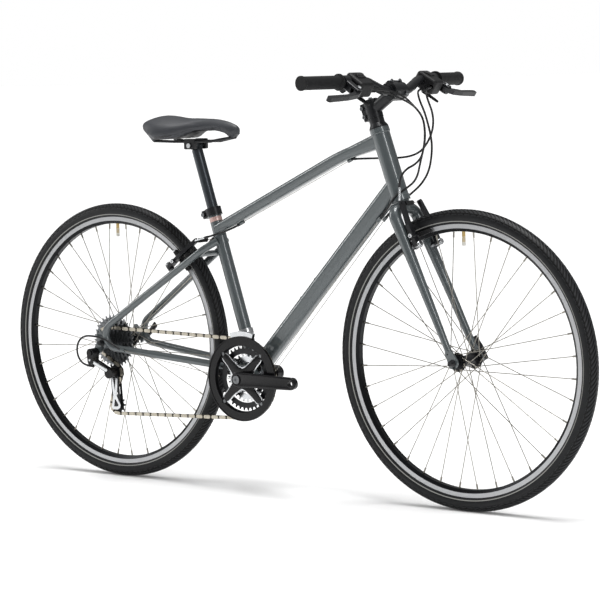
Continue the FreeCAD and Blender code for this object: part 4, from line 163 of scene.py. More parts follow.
def slate_enamel():
    """Stoved gloss enamel over aluminium: a clear coat over a grey-green base with a faint flake, and one pink band."""
    material, tree, shader = new_material("slate_enamel", "444b4d", Roughness=0.4, Metallic=0.3,
                                          Coat_Weight=1.0, Coat_Roughness=0.04)
    place, noise = grain(tree, shader, 9, 0.02)
    flake = add_node(tree, "TexNoise", {"Scale": per_mm(1.2), "Detail": 1}, {"Vector": place.outputs["Object"]})
    base = mottle(tree, shader, flake.outputs["Fac"], "434a4c", "52595b")
    along = add_node(tree, "VectorMath", {"operation": "DOT_PRODUCT", 1: SEAT_UP}, {0: place.outputs["Object"]})
    collar_low, collar_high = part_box("seat_clamp")
    level = Vector((collar_high.x, 0, collar_low.z)).dot(SEAT_UP)
    ring = between(tree, along.outputs["Value"], level - BAND_BELOW, level + BAND_ABOVE)
    split = add_node(tree, "SeparateXYZ", {}, {"Vector": place.outputs["Object"]})
    behind = add_node(tree, "Math", {"operation": "LESS_THAN", 1: collar_low.x + BAND_REACH}, {0: split.outputs["X"]})
    mask = add_node(tree, "Math", {"operation": "MULTIPLY"}, {0: ring, 1: behind.outputs[0]})
    band = add_node(tree, "Mix", {"data_type": "RGBA", 7: linear("c6a39b")}, {0: mask.outputs[0], 6: base})
    tree.links.new(band.outputs[2], shader.inputs["Base Color"])
    return material


TRACK_INNER, TRACK_OUTER = 306.5 * MM, 316.5 * MM
TOOL_RING_MM = 0.9


def rim_metal(name, axle):
    """Black anodised rim whose brake tracks are turned bright, with the fine rings of the tool."""
    material, tree, shader = new_material(name, "1a1b1d", Metallic=0.85, Roughness=0.34)
    place, noise = grain(tree, shader, 0.8, 0.01)
    radius = wheel_radius(tree, place, axle)
    track = between(tree, radius, TRACK_INNER, TRACK_OUTER)
    turns = add_node(tree, "Math", {"operation": "MULTIPLY", 1: per_mm(TOOL_RING_MM) * math.tau}, {0: radius})
    rings = add_node(tree, "Math", {"operation": "SINE"}, {0: turns.outputs[0]})
    bright = add_node(tree, "MapRange", {"From Min": -1, "To Min": 0, "To Max": 1}, {"Value": rings.outputs[0]})
    silver = add_node(tree, "Mix", {"data_type": "RGBA", 6: linear("a2a3a5"), 7: linear("c1c2c4")},
                      {0: bright.outputs["Result"]})
    both = add_node(tree, "Mix", {"data_type": "RGBA", 6: linear("1a1b1d")}, {0: track, 7: silver.outputs[2]})
    tree.links.new(both.outputs[2], shader.inputs["Base Color"])
    return material


STRIPE_INNER, STRIPE_OUTER = 321.6 * MM, 323.6 * MM
TYRE_MIDDLE, TYRE_HALF_WIDTH = 330.6 * MM, 18.1 * MM
TREAD_HEIGHT, TREAD_SHARE = 1.5 * MM, 0.45
TREAD_FOOT = TYRE_MIDDLE + TYRE_HALF_WIDTH * TREAD_SHARE


def tyre_rubber(name, axle):
    """Moulded tyre rubber: charcoal tread whose grooves are painted near black as shade, smooth walls with a thin pale
    stripe.

    Like the other blacks here it reflects little, because the white studio surrounds it on every side.
    """
    material, tree, shader = new_material(name, "1c1d1f", Roughness=0.48, Specular_IOR_Level=0.25)
    place, noise = grain(tree, shader, 1.5, 0.08)
    cloud = add_node(tree, "TexNoise", {"Scale": per_mm(18), "Detail": 4}, {"Vector": place.outputs["Object"]})
    wall = add_node(tree, "Mix", {"data_type": "RGBA", 6: linear("111213"), 7: linear("1c1d1f")},
                    {0: cloud.outputs["Fac"]})
    radius = wheel_radius(tree, place, axle)
    split = add_node(tree, "SeparateXYZ", {}, {"Vector": place.outputs["Object"]})
    out = add_node(tree, "Math", {"operation": "SUBTRACT", 1: TYRE_MIDDLE}, {0: radius})
    section = add_node(tree, "CombineXYZ", {}, {"X": out.outputs[0], "Y": split.outputs["Y"]})
    height = add_node(tree, "VectorMath", {"operation": "LENGTH"}, {0: section.outputs["Vector"]})
    # Tread tops lighter and grooves near black, by height above the casing: painted shade in the grooves.
    block = add_node(tree, "MapRange", {"From Min": TYRE_HALF_WIDTH, "From Max": TYRE_HALF_WIDTH + TREAD_HEIGHT},
                     {"Value": height.outputs["Value"]})
    tread = add_node(tree, "Mix", {"data_type": "RGBA", 6: linear("030303"), 7: linear("212224")},
                     {0: block.outputs["Result"]})
    on_tread = add_node(tree, "Math", {"operation": "GREATER_THAN", 1: TREAD_FOOT}, {0: radius})
    rubber = add_node(tree, "Mix", {"data_type": "RGBA"},
                      {0: on_tread.outputs[0], 6: wall.outputs[2], 7: tread.outputs[2]})
    stripe = between(tree, radius, STRIPE_INNER, STRIPE_OUTER)
    pale = add_node(tree, "Mix", {"data_type": "RGBA", 7: linear("8f8f8b")}, {0: stripe, 6: rubber.outputs[2]})
    tree.links.new(pale.outputs[2], shader.inputs["Base Color"])
    return material


def grip_rubber():
    """Soft moulded grip rubber with a fine raised dot pattern, the low ground between the dots darkened with painted
    shade.
    """
    material, tree, shader = new_material("grip_rubber", "121314", Roughness=0.7, Specular_IOR_Level=0.3)
    place = add_node(tree, "TexCoord")
    dots = add_node(tree, "TexVoronoi", {"Scale": per_mm(2.4), "Randomness": 0.15}, {"Vector": place.outputs["Object"]})
    bump = add_node(tree, "Bump", {"Distance": 0.4 * MM, "Strength": 0.7, "invert": True},
                    {"Height": dots.outputs["Distance"]})
    tree.links.new(bump.outputs["Normal"], shader.inputs["Normal"])
    # Colour darker away from each dot's centre, down between the raised dots: painted shade.
    mottle(tree, shader, dots.outputs["Distance"], "131415", "070708")
    return material


def saddle_vinyl():
    """Embossed vinyl skin: small leather-like cells, satin where it is stretched."""
    material, tree, shader = new_material("saddle_vinyl", "34363a", Roughness=0.5)
    place = add_node(tree, "TexCoord")
    cells = add_node(tree, "TexVoronoi", {"Scale": per_mm(2.2), "feature": "DISTANCE_TO_EDGE"},
                     {"Vector": place.outputs["Object"]})
    bump = add_node(tree, "Bump", {"Distance": 0.15 * MM, "Strength": 0.5}, {"Height": cells.outputs["Distance"]})
    tree.links.new(bump.outputs["Normal"], shader.inputs["Normal"])
    cloud = add_node(tree, "TexNoise", {"Scale": per_mm(40), "Detail": 3}, {"Vector": place.outputs["Object"]})
    mottle(tree, shader, cloud.outputs["Fac"], "2a2c30", "383a3f")
    uneven_gloss(tree, shader, place, 30, 0.42, 0.58)
    return material


# Inner chain plates and rollers in a darker steel: painted shade, where they sit further in between the outer plates
SHADED_LINK_STEEL = plain_finish("shaded_link_steel", "2f2b24", "211e19", "413c33", (3, 0.02, 3), Metallic=0.9, Roughness=0.42)
# Cold-forged cranks, polished and then dyed a deep glossy black
GLOSSY = plain_finish("glossy_black", "0b0b0d", "0b0b0c", "141416", (1.0, 0.01), (20, 0.18, 0.3),
                      Roughness=0.25, Specular_IOR_Level=0.2, Coat_Weight=0.1)
# Clear smoked plastic of a gear window, polished by its mould
WINDOW = plain_finish("smoked_window", "0e0f11", "0b0c0d", "141518", (6, 0.01), Roughness=0.08)
SLATE = slate_enamel()
# Anodised aluminium, bead blasted: a satin black with a metal's sheen
BLACK = plain_finish("black_anodised", "17181a", "121315", "1f2023", (0.8, 0.02), (25, 0.28, 0.42),
                     Metallic=0.35, Roughness=0.32)
# Anodised aluminium tube, drawn and polished before its grey-black dye
DARK = plain_finish("dark_anodised", "3a3d40", "3a3d41", "4e5357", (0.8, 0.015), (30, 0.24, 0.36),
                    Metallic=0.85, Roughness=0.3)
# Injection moulded nylon with a fine spark-eroded texture
NYLON = plain_finish("black_nylon", "17181a", "0d0d0e", "171719", (0.7, 0.06), Roughness=0.5,
                     Specular_IOR_Level=0.25)
# Forged and polished aluminium, bright with soft hazes
POLISHED = plain_finish("polished_aluminium", "cfd1d3", "c3c5c8", "dadcdd", (1.2, 0.01), (12, 0.16, 0.3),
                        Metallic=1.0, Roughness=0.22)
# Drawn stainless wire, fine and bright
WIRE = plain_finish("stainless_wire", "b4b2ac", "7d7a73", "a09c94", (0.6, 0.004), Metallic=1.0, Roughness=0.28)
# Stamped steel with a dull nickel plate and a trace of oil
STEEL = plain_finish("plated_steel", "8b8d8f", "5d5f61", "8d8f91", (4, 0.01, 4), (7, 0.24, 0.44),
                     Metallic=1.0, Roughness=0.34)
# Outer chain plates with a warm plated finish
CHAIN = plain_finish("chain_plate", "a39c90", "a09989", "cfc9bc", (5, 0.01, 3), (6, 0.22, 0.42),
                     Metallic=1.0, Roughness=0.3)
GRIP = grip_rubber()
# Plain moulded rubber, matt and slightly dusty
RUBBER = plain_finish("black_rubber", "1a1a1b", "141415", "222223", (0.9, 0.05), Roughness=0.75,
                      Specular_IOR_Level=0.25)
VINYL = saddle_vinyl()
# Extruded plastic sleeve of a cable housing, smooth and fairly glossy
SLEEVE = plain_finish("housing_sleeve", "111112", "0d0d0e", "171718", (3, 0.02), Roughness=0.32,
                      Specular_IOR_Level=0.3)
# Turned brass, a little dull from handling
BRASS = plain_finish("valve_brass", "b49a62", "9c8450", "c6ad78", (0.6, 0.01), Metallic=1.0, Roughness=0.3)
# Moulded cap of a tyre valve
PALE = plain_finish("pale_cap", "d8d6ce", "cfcdc4", "e0ded8", (0.8, 0.02), Roughness=0.4)
WHEELS = {"front": FRONT_AXLE, "rear": REAR_AXLE}
TYRES = {end: tyre_rubber(end + "_tyre_rubber", axle) for end, axle in WHEELS.items()}
RIMS = {end: rim_metal(end + "_rim_metal", axle) for end, axle in WHEELS.items()}


def finish_node(name, material):
    """Gives a solid of the frame one finish all over."""
    mesh = nodes[name].data
    mesh.materials.clear()
    mesh.materials.append(material)


FINISHES = {
    "frame": SLATE, "fork": SLATE, "seatpost": DARK, "seat_clamp": BLACK, "saddle_clamp": BLACK,
    "saddle_rails": BLACK, "saddle_shell": NYLON, "saddle_cover": VINYL, "stem": BLACK, "stem_faceplate": BLACK,
    "stem_bolts": STEEL, "handlebar": BLACK, "headset_spacers": BLACK, "headset_bearings": STEEL, "grips": GRIP,
    "lever_brackets": BLACK, "shifter_pods": NYLON, "bottle_bolts": BLACK, "bottom_bracket_cartridge": STEEL,
    "rear_mech_body": GLOSSY, "rear_mech_cage": BLACK, "front_mech": POLISHED, "chain": CHAIN,
    "frame_cables": SLEEVE, "control_cables": SLEEVE, "front_brake_cable": SLEEVE, "cassette_sprockets": STEEL,
    "freehub_body": STEEL, "crank_spindle": STEEL, "right_crank": GLOSSY, "left_crank": GLOSSY,
    "chainrings": BLACK, "chain_guard": GLOSSY, "crank_bolts": STEEL, "guide_pulley": NYLON, "tension_pulley": NYLON,
    "front_axle": BLACK, "rear_axle": BLACK, "front_qr_lever": BLACK, "rear_qr_lever": BLACK,
}
for side in ("right", "left"):
    for lever in ("brake", "thumb", "release"):
        FINISHES[f"{side}_{lever}_lever"] = BLACK if lever == "brake" else NYLON
    for end in WHEELS:
        FINISHES[f"{end}_{side}_brake_arm"] = BLACK
for end in WHEELS:
    FINISHES.update({end + "_tyre": TYRES[end], end + "_rim": RIMS[end], end + "_spokes": WIRE, end + "_hub": BLACK,
                     end + "_inner_tube": BRASS})
for name, material in FINISHES.items():
    finish_node(name, material)


def paint(name, material, test):
    """Gives the faces of a node another finish where a test of their centre and normal holds."""
    mesh = nodes[name].data
    mesh.materials.append(material)
    for face in mesh.polygons:
        if test(face.center, face.normal):
            face.material_index = len(mesh.materials) - 1


# Places in the frame that bound the faces of another finish
CAP_RADIUS = 282 * MM
CONE_INNER, CONE_OUTERS = 38 * MM, {"front": 51 * MM, "rear": 68 * MM}
PAD_LINE = 23.2 * MM
for end, axle in WHEELS.items():
    paint(end + "_inner_tube", PALE, lambda c, n: (c - axle).length < CAP_RADIUS)
    paint(end + "_axle", STEEL, lambda c, n: CONE_INNER < abs(c.y) < CONE_OUTERS[end])
    for side in ("right", "left"):
        paint(f"{end}_{side}_brake_arm", RUBBER, lambda c, n: abs(c.y) < PAD_LINE)
WIRE_FOOT = {"front": 0.66, "rear": 0.595}
FRONT_PIPE_TOP, FRONT_PIPE_FOOT, FRONT_PIPE_LINES = 0.7205, 0.7, (-0.0285, -0.0255)
REAR_PIPE_FOOT, REAR_PIPE_BACK = 0.6, -0.2345
GUIDE_PIPES = {
    "front": lambda c, n: c.z > FRONT_PIPE_TOP or (
        c.z > FRONT_PIPE_FOOT and FRONT_PIPE_LINES[0] < c.y < FRONT_PIPE_LINES[1]),
    "rear": lambda c, n: c.z > REAR_PIPE_FOOT and c.x > REAR_PIPE_BACK,
}
for end, foot in WIRE_FOOT.items():
    paint(end + "_left_brake_arm", WIRE, lambda c, n: abs(c.y) < PAD_LINE and c.z > foot)
    paint(end + "_right_brake_arm", POLISHED, GUIDE_PIPES[end])
FRONT_BOLT_X, FRONT_BOLT_INNER = 0.4345, 30 * MM
REAR_BOLT_X, REAR_BOLT_FOOT = -0.3225, 0.5485
for side in ("right", "left"):
    paint(f"front_{side}_brake_arm", POLISHED, lambda c, n: c.x > FRONT_BOLT_X and abs(c.y) > FRONT_BOLT_INNER)
    paint(f"rear_{side}_brake_arm", POLISHED, lambda c, n: c.x < REAR_BOLT_X and c.z > REAR_BOLT_FOOT)
COLLAR_BACK, COLLAR_SLOT, COLLAR_HEAD = -0.2285, 3.2 * MM, -10.2 * MM
SADDLE_BOLT_LINE = 28.5 * MM
paint("seat_clamp", STEEL, lambda c, n: c.x < COLLAR_BACK and (abs(c.y) < COLLAR_SLOT or c.y < COLLAR_HEAD))
paint("saddle_clamp", POLISHED, lambda c, n: abs(c.y) > SADDLE_BOLT_LINE)
WIDE_LINK, NARROW_LINK, HALF_LINK = 5.5 * MM, 3 * MM, 1.5 * MM


def chain_links(mesh):
    """The chain's faces, link by link, gathered from corners that share a place."""
    leader = {}

    def find(key):
        while leader.setdefault(key, key) != key:
            leader[key] = leader[leader[key]]
            key = leader[key]
        return key

    corners = [tuple(round(value, 6) for value in vertex.co) for vertex in mesh.vertices]
    for face in mesh.polygons:
        first = find(corners[face.vertices[0]])
        for index in face.vertices[1:]:
            leader[find(corners[index])] = first
    links = {}
    for face in mesh.polygons:
        links.setdefault(find(corners[face.vertices[0]]), []).append(face)
    return links.values()


def paint_inner_links(mesh):
    """Gives the narrow links between the wide ones a darker steel finish: painted shade, as they sit further in."""
    mesh.materials.append(SHADED_LINK_STEEL)
    for faces in chain_links(mesh):
        lines = [mesh.vertices[index].co.y for face in faces for index in face.vertices]
        width = max(lines) - min(lines)
        if NARROW_LINK < width < WIDE_LINK or width < HALF_LINK:
            for face in faces:
                face.material_index = len(mesh.materials) - 1


paint_inner_links(nodes["chain"].data)
SMALL_RING_LINE, RIVET_LINE = -43 * MM, -57.2 * MM
SPIDER_FACE, SPIDER_INNER, SIDE_NORMAL = -66 * MM, 26 * MM, 0.5
STUD_INNER, STUD_OUTER = 35.5 * MM, 49 * MM
REAR_STUD_X, REAR_STUD_FOOT = (-0.332, -0.304), 0.525
FRONT_STUD_Z, FRONT_STUD_BACK = (0.605, 0.627), 0.4125
paint("chainrings", POLISHED, lambda c, n: c.y > SMALL_RING_LINE)
paint("chainrings", STEEL, lambda c, n: c.y < RIVET_LINE)
paint("right_crank", POLISHED, lambda c, n: c.y > SPIDER_FACE and abs(n.y) < SIDE_NORMAL
      and math.hypot(c.x - BRACKET.x, c.z - BRACKET.z) > SPIDER_INNER)
paint("frame", STEEL, lambda c, n: STUD_INNER < abs(c.y) < STUD_OUTER and c.z > REAR_STUD_FOOT
      and REAR_STUD_X[0] < c.x < REAR_STUD_X[1])
paint("fork", STEEL, lambda c, n: abs(c.y) < STUD_OUTER and c.x > FRONT_STUD_BACK
      and FRONT_STUD_Z[0] < c.z < FRONT_STUD_Z[1])

# Saddle

SADDLE_VOXEL, SADDLE_WELD = 4 * MM, 0.02 * MM
SADDLE_SWELL, SADDLE_SHRINK_SHARE = 2.5 * MM, 0.7
SADDLE_FRAMES, SADDLE_PRESSURE = 14, 4
SADDLE_FILL, UNDERSIDE_NORMAL = 0.85, -0.85


def swell(pad):
    """Blows a skin out from the inside, as foam does under a stretched cover, and keeps the result."""
    before = [vertex.co.copy() for vertex in pad.data.vertices]
    cloth = pad.modifiers.new("skin", "CLOTH")
    cloth.settings.use_pressure = True
    cloth.settings.uniform_pressure_force = SADDLE_PRESSURE
    cloth.settings.effector_weights.gravity = 0
    for moment in range(1, SADDLE_FRAMES + 1):
        bpy.context.scene.frame_set(moment)
    bpy.ops.object.modifier_apply(modifier=cloth.name)
    bpy.context.scene.frame_set(1)
    for vertex, start in zip(pad.data.vertices, before):
        move = vertex.co - start
        if move.length > SADDLE_SWELL:
            vertex.co = start + move.normalized() * SADDLE_SWELL


TAIL_LIFT, TAIL_SHARE, TAIL_CURVE = 28 * MM, 0.22, 1.5
WING_LIFT, WING_SHARE, WING_CURVE = 32 * MM, 0.3, 1.2
WAIST_LIFT, WAIST_SHARES = 16 * MM, (0.35, 0.6)
NOSE_FALL, NOSE_SHARES = 12 * MM, (0.72, 0.95)
CROWN_RISE = 5 * MM
SOCKET_REACH, SOCKET_COVER, SOCKET_CURVE = 11 * MM, 3 * MM, 6


def ease(low, high, value):
    """Smooth step from 0 to 1 between two values."""
    part = min(1, max(0, (value - low) / (high - low)))
    return part * part * (3 - 2 * part)


def rail_ends():
    """Rearmost and foremost point of each saddle rail."""
    points = [vertex.co for vertex in nodes["saddle_rails"].data.vertices]
    ends = []
    for hand in (-1, 1):
        rail = [point for point in points if point.y * hand > 0]
        ends += [min(rail, key=lambda point: point.x), max(rail, key=lambda point: point.x)]
    return ends


def shape_saddle(mesh):
    """Kicks up the tail and its wings, thins the waist from below and moulds a socket over each rail's end."""
    low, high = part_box("saddle_cover")
    ends = rail_ends()
    for vertex in mesh.vertices:
        share = (vertex.co.x - low.x) / (high.x - low.x)
        rise = min(1, max(0, (vertex.co.z - low.z) / (high.z - low.z)))
        side = min(1, abs(vertex.co.y) / high.y)
        tail = TAIL_LIFT * max(0, 1 - share / TAIL_SHARE) ** TAIL_CURVE
        wing = WING_LIFT * max(0, 1 - share / WING_SHARE) ** WING_CURVE * side * side
        waist = WAIST_LIFT * ease(*WAIST_SHARES, share) - NOSE_FALL * ease(*NOSE_SHARES, share)
        vertex.co.z += (tail + waist) * (1 - rise) + (wing + CROWN_RISE * share) * rise
        for end in ends:
            near = math.exp(-((vertex.co.x - end.x) ** 2 + (vertex.co.y - end.y) ** 2) / SOCKET_REACH ** 2)
            vertex.co.z -= max(0, vertex.co.z - end.z + SOCKET_COVER) * near * (1 - rise) ** SOCKET_CURVE


def make_saddle():
    """Padded saddle: the solid's own form, shrunk a little, then swollen under its vinyl skin."""
    bpy.ops.object.select_all(action="DESELECT")
    for name in ("saddle_shell", "saddle_cover"):
        pad = nodes[name].copy()
        pad.data = nodes[name].data.copy()
        pad.parent = None
        for tag in [key for key in pad.keys() if key.startswith("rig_")]:
            del pad[tag]
        bpy.context.scene.collection.objects.link(pad)
        pad.select_set(True)
        bpy.context.view_layer.objects.active = pad
    bpy.ops.object.join()
    pad.name = "saddle_pad"
    bpy.ops.object.mode_set(mode="EDIT")
    bpy.ops.mesh.select_all(action="SELECT")
    bpy.ops.mesh.remove_doubles(threshold=SADDLE_WELD)
    bpy.ops.mesh.normals_make_consistent(inside=False)
    bpy.ops.transform.shrink_fatten(value=-SADDLE_SWELL * SADDLE_SHRINK_SHARE)
    bpy.ops.object.mode_set(mode="OBJECT")
    pad.data.remesh_voxel_size = SADDLE_VOXEL
    bpy.ops.object.voxel_remesh()
    swell(pad)
    smooth = pad.modifiers.new("ease", "SMOOTH")
    smooth.factor, smooth.iterations = 0.5, 6
    bpy.ops.object.modifier_apply(modifier=smooth.name)
    fine = pad.modifiers.new("fine", "SUBSURF")
    fine.levels = fine.render_levels = 1
    bpy.ops.object.modifier_apply(modifier=fine.name)
    shape_saddle(pad.data)
    bpy.ops.object.shade_smooth()
    pad.data.materials.clear()
    pad.data.materials.append(VINYL)
    pad.data.materials.append(NYLON)
    for face in pad.data.polygons:
        face.material_index = 1 if face.normal.z < UNDERSIDE_NORMAL else 0
    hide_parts("saddle_cover", "saddle_shell")
    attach(pad, "saddle")


make_saddle()

# Tyres

TREAD_STEPS, TREAD_STRIPS = 360, 48
BLOCK_LEAN, RIB_LEAN, DASH_LEANS = 50, 8, (57, 66)
BLOCK_STEPS, DASH_STEPS = 2, 3
TREAD_SKEW, SKEW_RISE = 1.6, TYRE_HALF_WIDTH / 3
WELD = 0.01 * MM
SHARP_EDGE = math.radians(35)


def pick_faces(piece, wanted):
    """Selects the faces of a piece that pass a test, and nothing else."""
    bpy.context.tool_settings.mesh_select_mode = (False, False, True)
    for loose in (piece.data.vertices, piece.data.edges):
        loose.foreach_set("select", [False] * len(loose))
    for face in piece.data.polygons:
        face.select = wanted(face)


def apply_place(piece):
    """Puts a piece's place and turn into its mesh, so that its object sits at the origin."""
    bpy.ops.object.transform_apply(location=True, rotation=True, scale=True)
    return piece


def wheel_polar(point, axle):
    """A point's distance from a wheel's axle line, its turn about it and its offset along it."""
    away = point - axle
    return math.hypot(away.x, away.z), math.atan2(away.x, away.z) % math.tau, away.y


def is_tread(face, axle):
    """Whether a face of the casing belongs to the centre rib, a slanted block or a shoulder dash."""
    radius, turn, left = wheel_polar(face.center, axle)
    step = int(turn / math.tau * TREAD_STEPS)
    lean = abs(math.degrees(math.atan2(left, radius - TYRE_MIDDLE)))
    block = lean < BLOCK_LEAN and step % BLOCK_STEPS != 0
    dash = DASH_LEANS[0] < lean < DASH_LEANS[1] and step % DASH_STEPS != 0
    return lean < RIB_LEAN or block or dash


def slant_tread(mesh, axle):
    """Turns the tread's outer strips ahead of its centre, so that the blocks lie in a herringbone."""
    for vertex in mesh.vertices:
        radius, turn, left = wheel_polar(vertex.co, axle)
        share = max(0, min(1, (radius - TYRE_MIDDLE) / SKEW_RISE))
        turn += TREAD_SKEW * abs(left) * share / radius
        vertex.co = axle + Vector((radius * math.sin(turn), left, radius * math.cos(turn)))


def make_tyre(end, axle):
    """A round casing with a raised tread, spun from its section."""
    bpy.ops.object.select_all(action="DESELECT")
    bpy.ops.mesh.primitive_circle_add(vertices=TREAD_STRIPS, radius=TYRE_HALF_WIDTH,
                                      location=axle + Z_AXIS * TYRE_MIDDLE, rotation=(0, math.pi / 2, 0))
    tyre = apply_place(bpy.context.object)
    tyre.name = end + "_tyre_casing"
    bpy.ops.object.mode_set(mode="EDIT")
    bpy.ops.mesh.select_all(action="SELECT")
    bpy.ops.mesh.spin(steps=TREAD_STEPS, angle=math.tau, center=axle, axis=Y_AXIS)
    bpy.ops.mesh.select_all(action="SELECT")
    bpy.ops.mesh.remove_doubles(threshold=WELD)
    bpy.ops.mesh.normals_make_consistent(inside=False)
    bpy.ops.object.mode_set(mode="OBJECT")
    pick_faces(tyre, lambda face: is_tread(face, axle))
    bpy.ops.object.mode_set(mode="EDIT")
    bpy.ops.mesh.extrude_region_shrink_fatten(TRANSFORM_OT_shrink_fatten={"value": TREAD_HEIGHT})
    bpy.ops.object.mode_set(mode="OBJECT")
    slant_tread(tyre.data, axle)
    bpy.ops.object.shade_smooth_by_angle(angle=SHARP_EDGE)
    tyre.data.materials.append(TYRES[end])
    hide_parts(end + "_tyre")
    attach(tyre, end + "_wheel")


for end, axle in WHEELS.items():
    make_tyre(end, axle)

# Cables

HOUSING = 5 * MM
BARE_WIRE = 1.4 * MM
CORD_ROUTES = {
    "rear_gear_cable": [(0.354, -0.107, 0.975), (0.359, -0.072, 0.975), (0.401, -0.039, 0.951), (0.429, -0.039, 0.936),
                        (0.452, -0.042, 0.912), (0.460, -0.045, 0.881), (0.458, -0.045, 0.851), (0.445, -0.045, 0.810),
                        (0.421, -0.026, 0.769), (0.390, -0.022, 0.748), (0.362, -0.034, 0.730), (0.326, -0.012, 0.699),
                        (0.306, -0.012, 0.678)],
    "front_gear_cable": [(0.354, 0.107, 0.975), (0.359, 0.072, 0.975), (0.374, 0.056, 0.952), (0.388, 0.062, 0.916),
                         (0.401, 0.066, 0.859), (0.404, 0.062, 0.827), (0.400, 0.056, 0.786), (0.385, 0.046, 0.754),
                         (0.356, 0.033, 0.727), (0.326, 0.012, 0.699), (0.306, 0.012, 0.678)],
    "rear_brake_cable": [(0.361, 0.153, 0.979), (0.370, 0.088, 0.979), (0.388, 0.068, 0.955), (0.400, 0.077, 0.915),
                         (0.394, 0.082, 0.875), (0.378, 0.070, 0.837), (0.356, 0.060, 0.820), (0.318, 0.046, 0.814),
                         (0.266, 0.026, 0.815), (0.219, 0.000, 0.814)],
    "front_brake_housing": [(0.361, -0.153, 0.979), (0.370, -0.088, 0.979), (0.388, -0.030, 0.964),
                            (0.418, -0.025, 0.936), (0.437, -0.020, 0.912), (0.442, -0.020, 0.881),
                            (0.440, -0.020, 0.850), (0.428, -0.020, 0.809), (0.384, -0.042, 0.785),
                            (0.384, -0.045, 0.751)],
    "rear_brake_end": [(-0.127, 0.000, 0.654), (-0.154, 0.000, 0.642), (-0.172, -0.042, 0.630),
                       (-0.204, -0.045, 0.622)],
    "rear_gear_end": [(-0.464, -0.080, 0.336), (-0.498, -0.082, 0.356), (-0.538, -0.084, 0.367),
                      (-0.584, -0.085, 0.367), (-0.606, -0.0855, 0.345), (-0.606, -0.0855, 0.313),
                      (-0.584, -0.0855, 0.291), (-0.563, -0.0855, 0.291)],
}
CORD_NODES = {"front_brake_housing": "front_brake_cable", "rear_brake_end": "frame_cables",
              "rear_gear_end": "frame_cables"}
CORD_BODIES = {"front_brake_housing": "steering", "rear_brake_end": "frame", "rear_gear_end": "frame"}
BLENDS = {"rear_gear_cable": ((0.40, 0, 0.95), (0.33, 0, 0.71)),
          "front_gear_cable": ((0.38, 0, 0.95), (0.33, 0, 0.71)),
          "rear_brake_cable": ((0.39, 0.07, 0.95), (0.24, 0.02, 0.815))}


def make_line(name, route, diameter):
    """One smooth curve along a route's points, and the points of that curve."""
    curve = bpy.data.curves.new(name, "CURVE")
    curve.dimensions = "3D"
    curve.resolution_u = 16
    spline = curve.splines.new("NURBS")
    spline.points.add(len(route) - 1)
    for point, place in zip(spline.points, route):
        point.co = (*place, 1)
    spline.order_u = 3
    spline.use_endpoint_u = True
    line = bpy.data.objects.new(name, curve)
    bpy.context.scene.collection.objects.link(line)
    bare = bpy.data.meshes.new_from_object(line)
    path = [vertex.co.copy() for vertex in bare.vertices]
    curve.bevel_depth = diameter / 2
    curve.bevel_resolution = 4
    curve.use_fill_caps = True
    return line, path


def make_tube(name, route, diameter, material):
    """A round tube mesh along a smooth route, with the path that it follows."""
    line, path = make_line(name, route, diameter)
    bpy.ops.object.select_all(action="DESELECT")
    line.select_set(True)
    bpy.context.view_layer.objects.active = line
    bpy.ops.object.convert(target="MESH")
    tube = bpy.context.object
    tube.data.materials.clear()
    tube.data.materials.append(material)
    bpy.ops.object.shade_smooth()
    return tube, path


CORD_ENDS = []
for name, route in CORD_ROUTES.items():
    tube, path = make_tube(name, route, HOUSING, SLEEVE)
    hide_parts(CORD_NODES.get(name, "control_cables"))
    if name in BLENDS:
        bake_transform(tube)
        CORD_ENDS.append((name, path, "steering", "frame"))
    else:
        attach(tube, CORD_BODIES[name])
        CORD_ENDS.append((name, path, CORD_BODIES[name], CORD_BODIES[name]))

WIRE_ROUTES = {
    "rear_brake_wire": [(0.206, 0, 0.808), (-0.116, 0, 0.660)],
    "rear_gear_wire": [(0.297, -0.012, 0.668), (-0.063, -0.012, 0.268), (-0.073, -0.012, 0.257),
                       (-0.088, -0.0146, 0.260), (-0.451, -0.078, 0.334)],
    "front_gear_wire": [(0.297, 0.012, 0.668), (-0.063, 0.012, 0.268), (-0.073, 0.012, 0.257),
                        (-0.112, -0.004, 0.262), (-0.116, -0.006, 0.282), (-0.133, -0.016, 0.380)],
}
for name, route in WIRE_ROUTES.items():
    tube, path = make_tube(name, route, BARE_WIRE, WIRE)
    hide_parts("frame_cables")
    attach(tube, "frame")

# Fittings


def finish_piece(piece, material, body):
    """Closes a new piece's mesh, turns its faces outwards and gives it its finish and its body."""
    bpy.ops.object.mode_set(mode="EDIT")
    bpy.ops.mesh.select_all(action="SELECT")
    bpy.ops.mesh.remove_doubles(threshold=WELD)
    bpy.ops.mesh.normals_make_consistent(inside=False)
    bpy.ops.object.mode_set(mode="OBJECT")
    bpy.ops.object.shade_smooth_by_angle(angle=SHARP_EDGE)
    piece.data.materials.clear()
    piece.data.materials.append(material)
    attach(piece, body)
    return piece


def round_outline(centre, radius, steps=24):
    """Points of a circle."""
    turns = [math.tau * step / steps for step in range(steps)]
    return [(centre[0] + radius * math.cos(turn), centre[1] + radius * math.sin(turn)) for turn in turns]


def strap_outline(first, first_radius, second, second_radius, steps=14):
    """Points of two round ends and the straight sides between them."""
    along = Vector(second) - Vector(first)
    lean = math.acos((first_radius - second_radius) / along.length)
    turn = math.atan2(along.y, along.x)
    points = []
    for centre, radius, start, sweep in ((second, second_radius, -lean, 2 * lean),
                                         (first, first_radius, lean, math.tau - 2 * lean)):
        for step in range(steps + 1):
            angle = turn + start + sweep * step / steps
            points.append((centre[0] + radius * math.cos(angle), centre[1] + radius * math.sin(angle)))
    return points


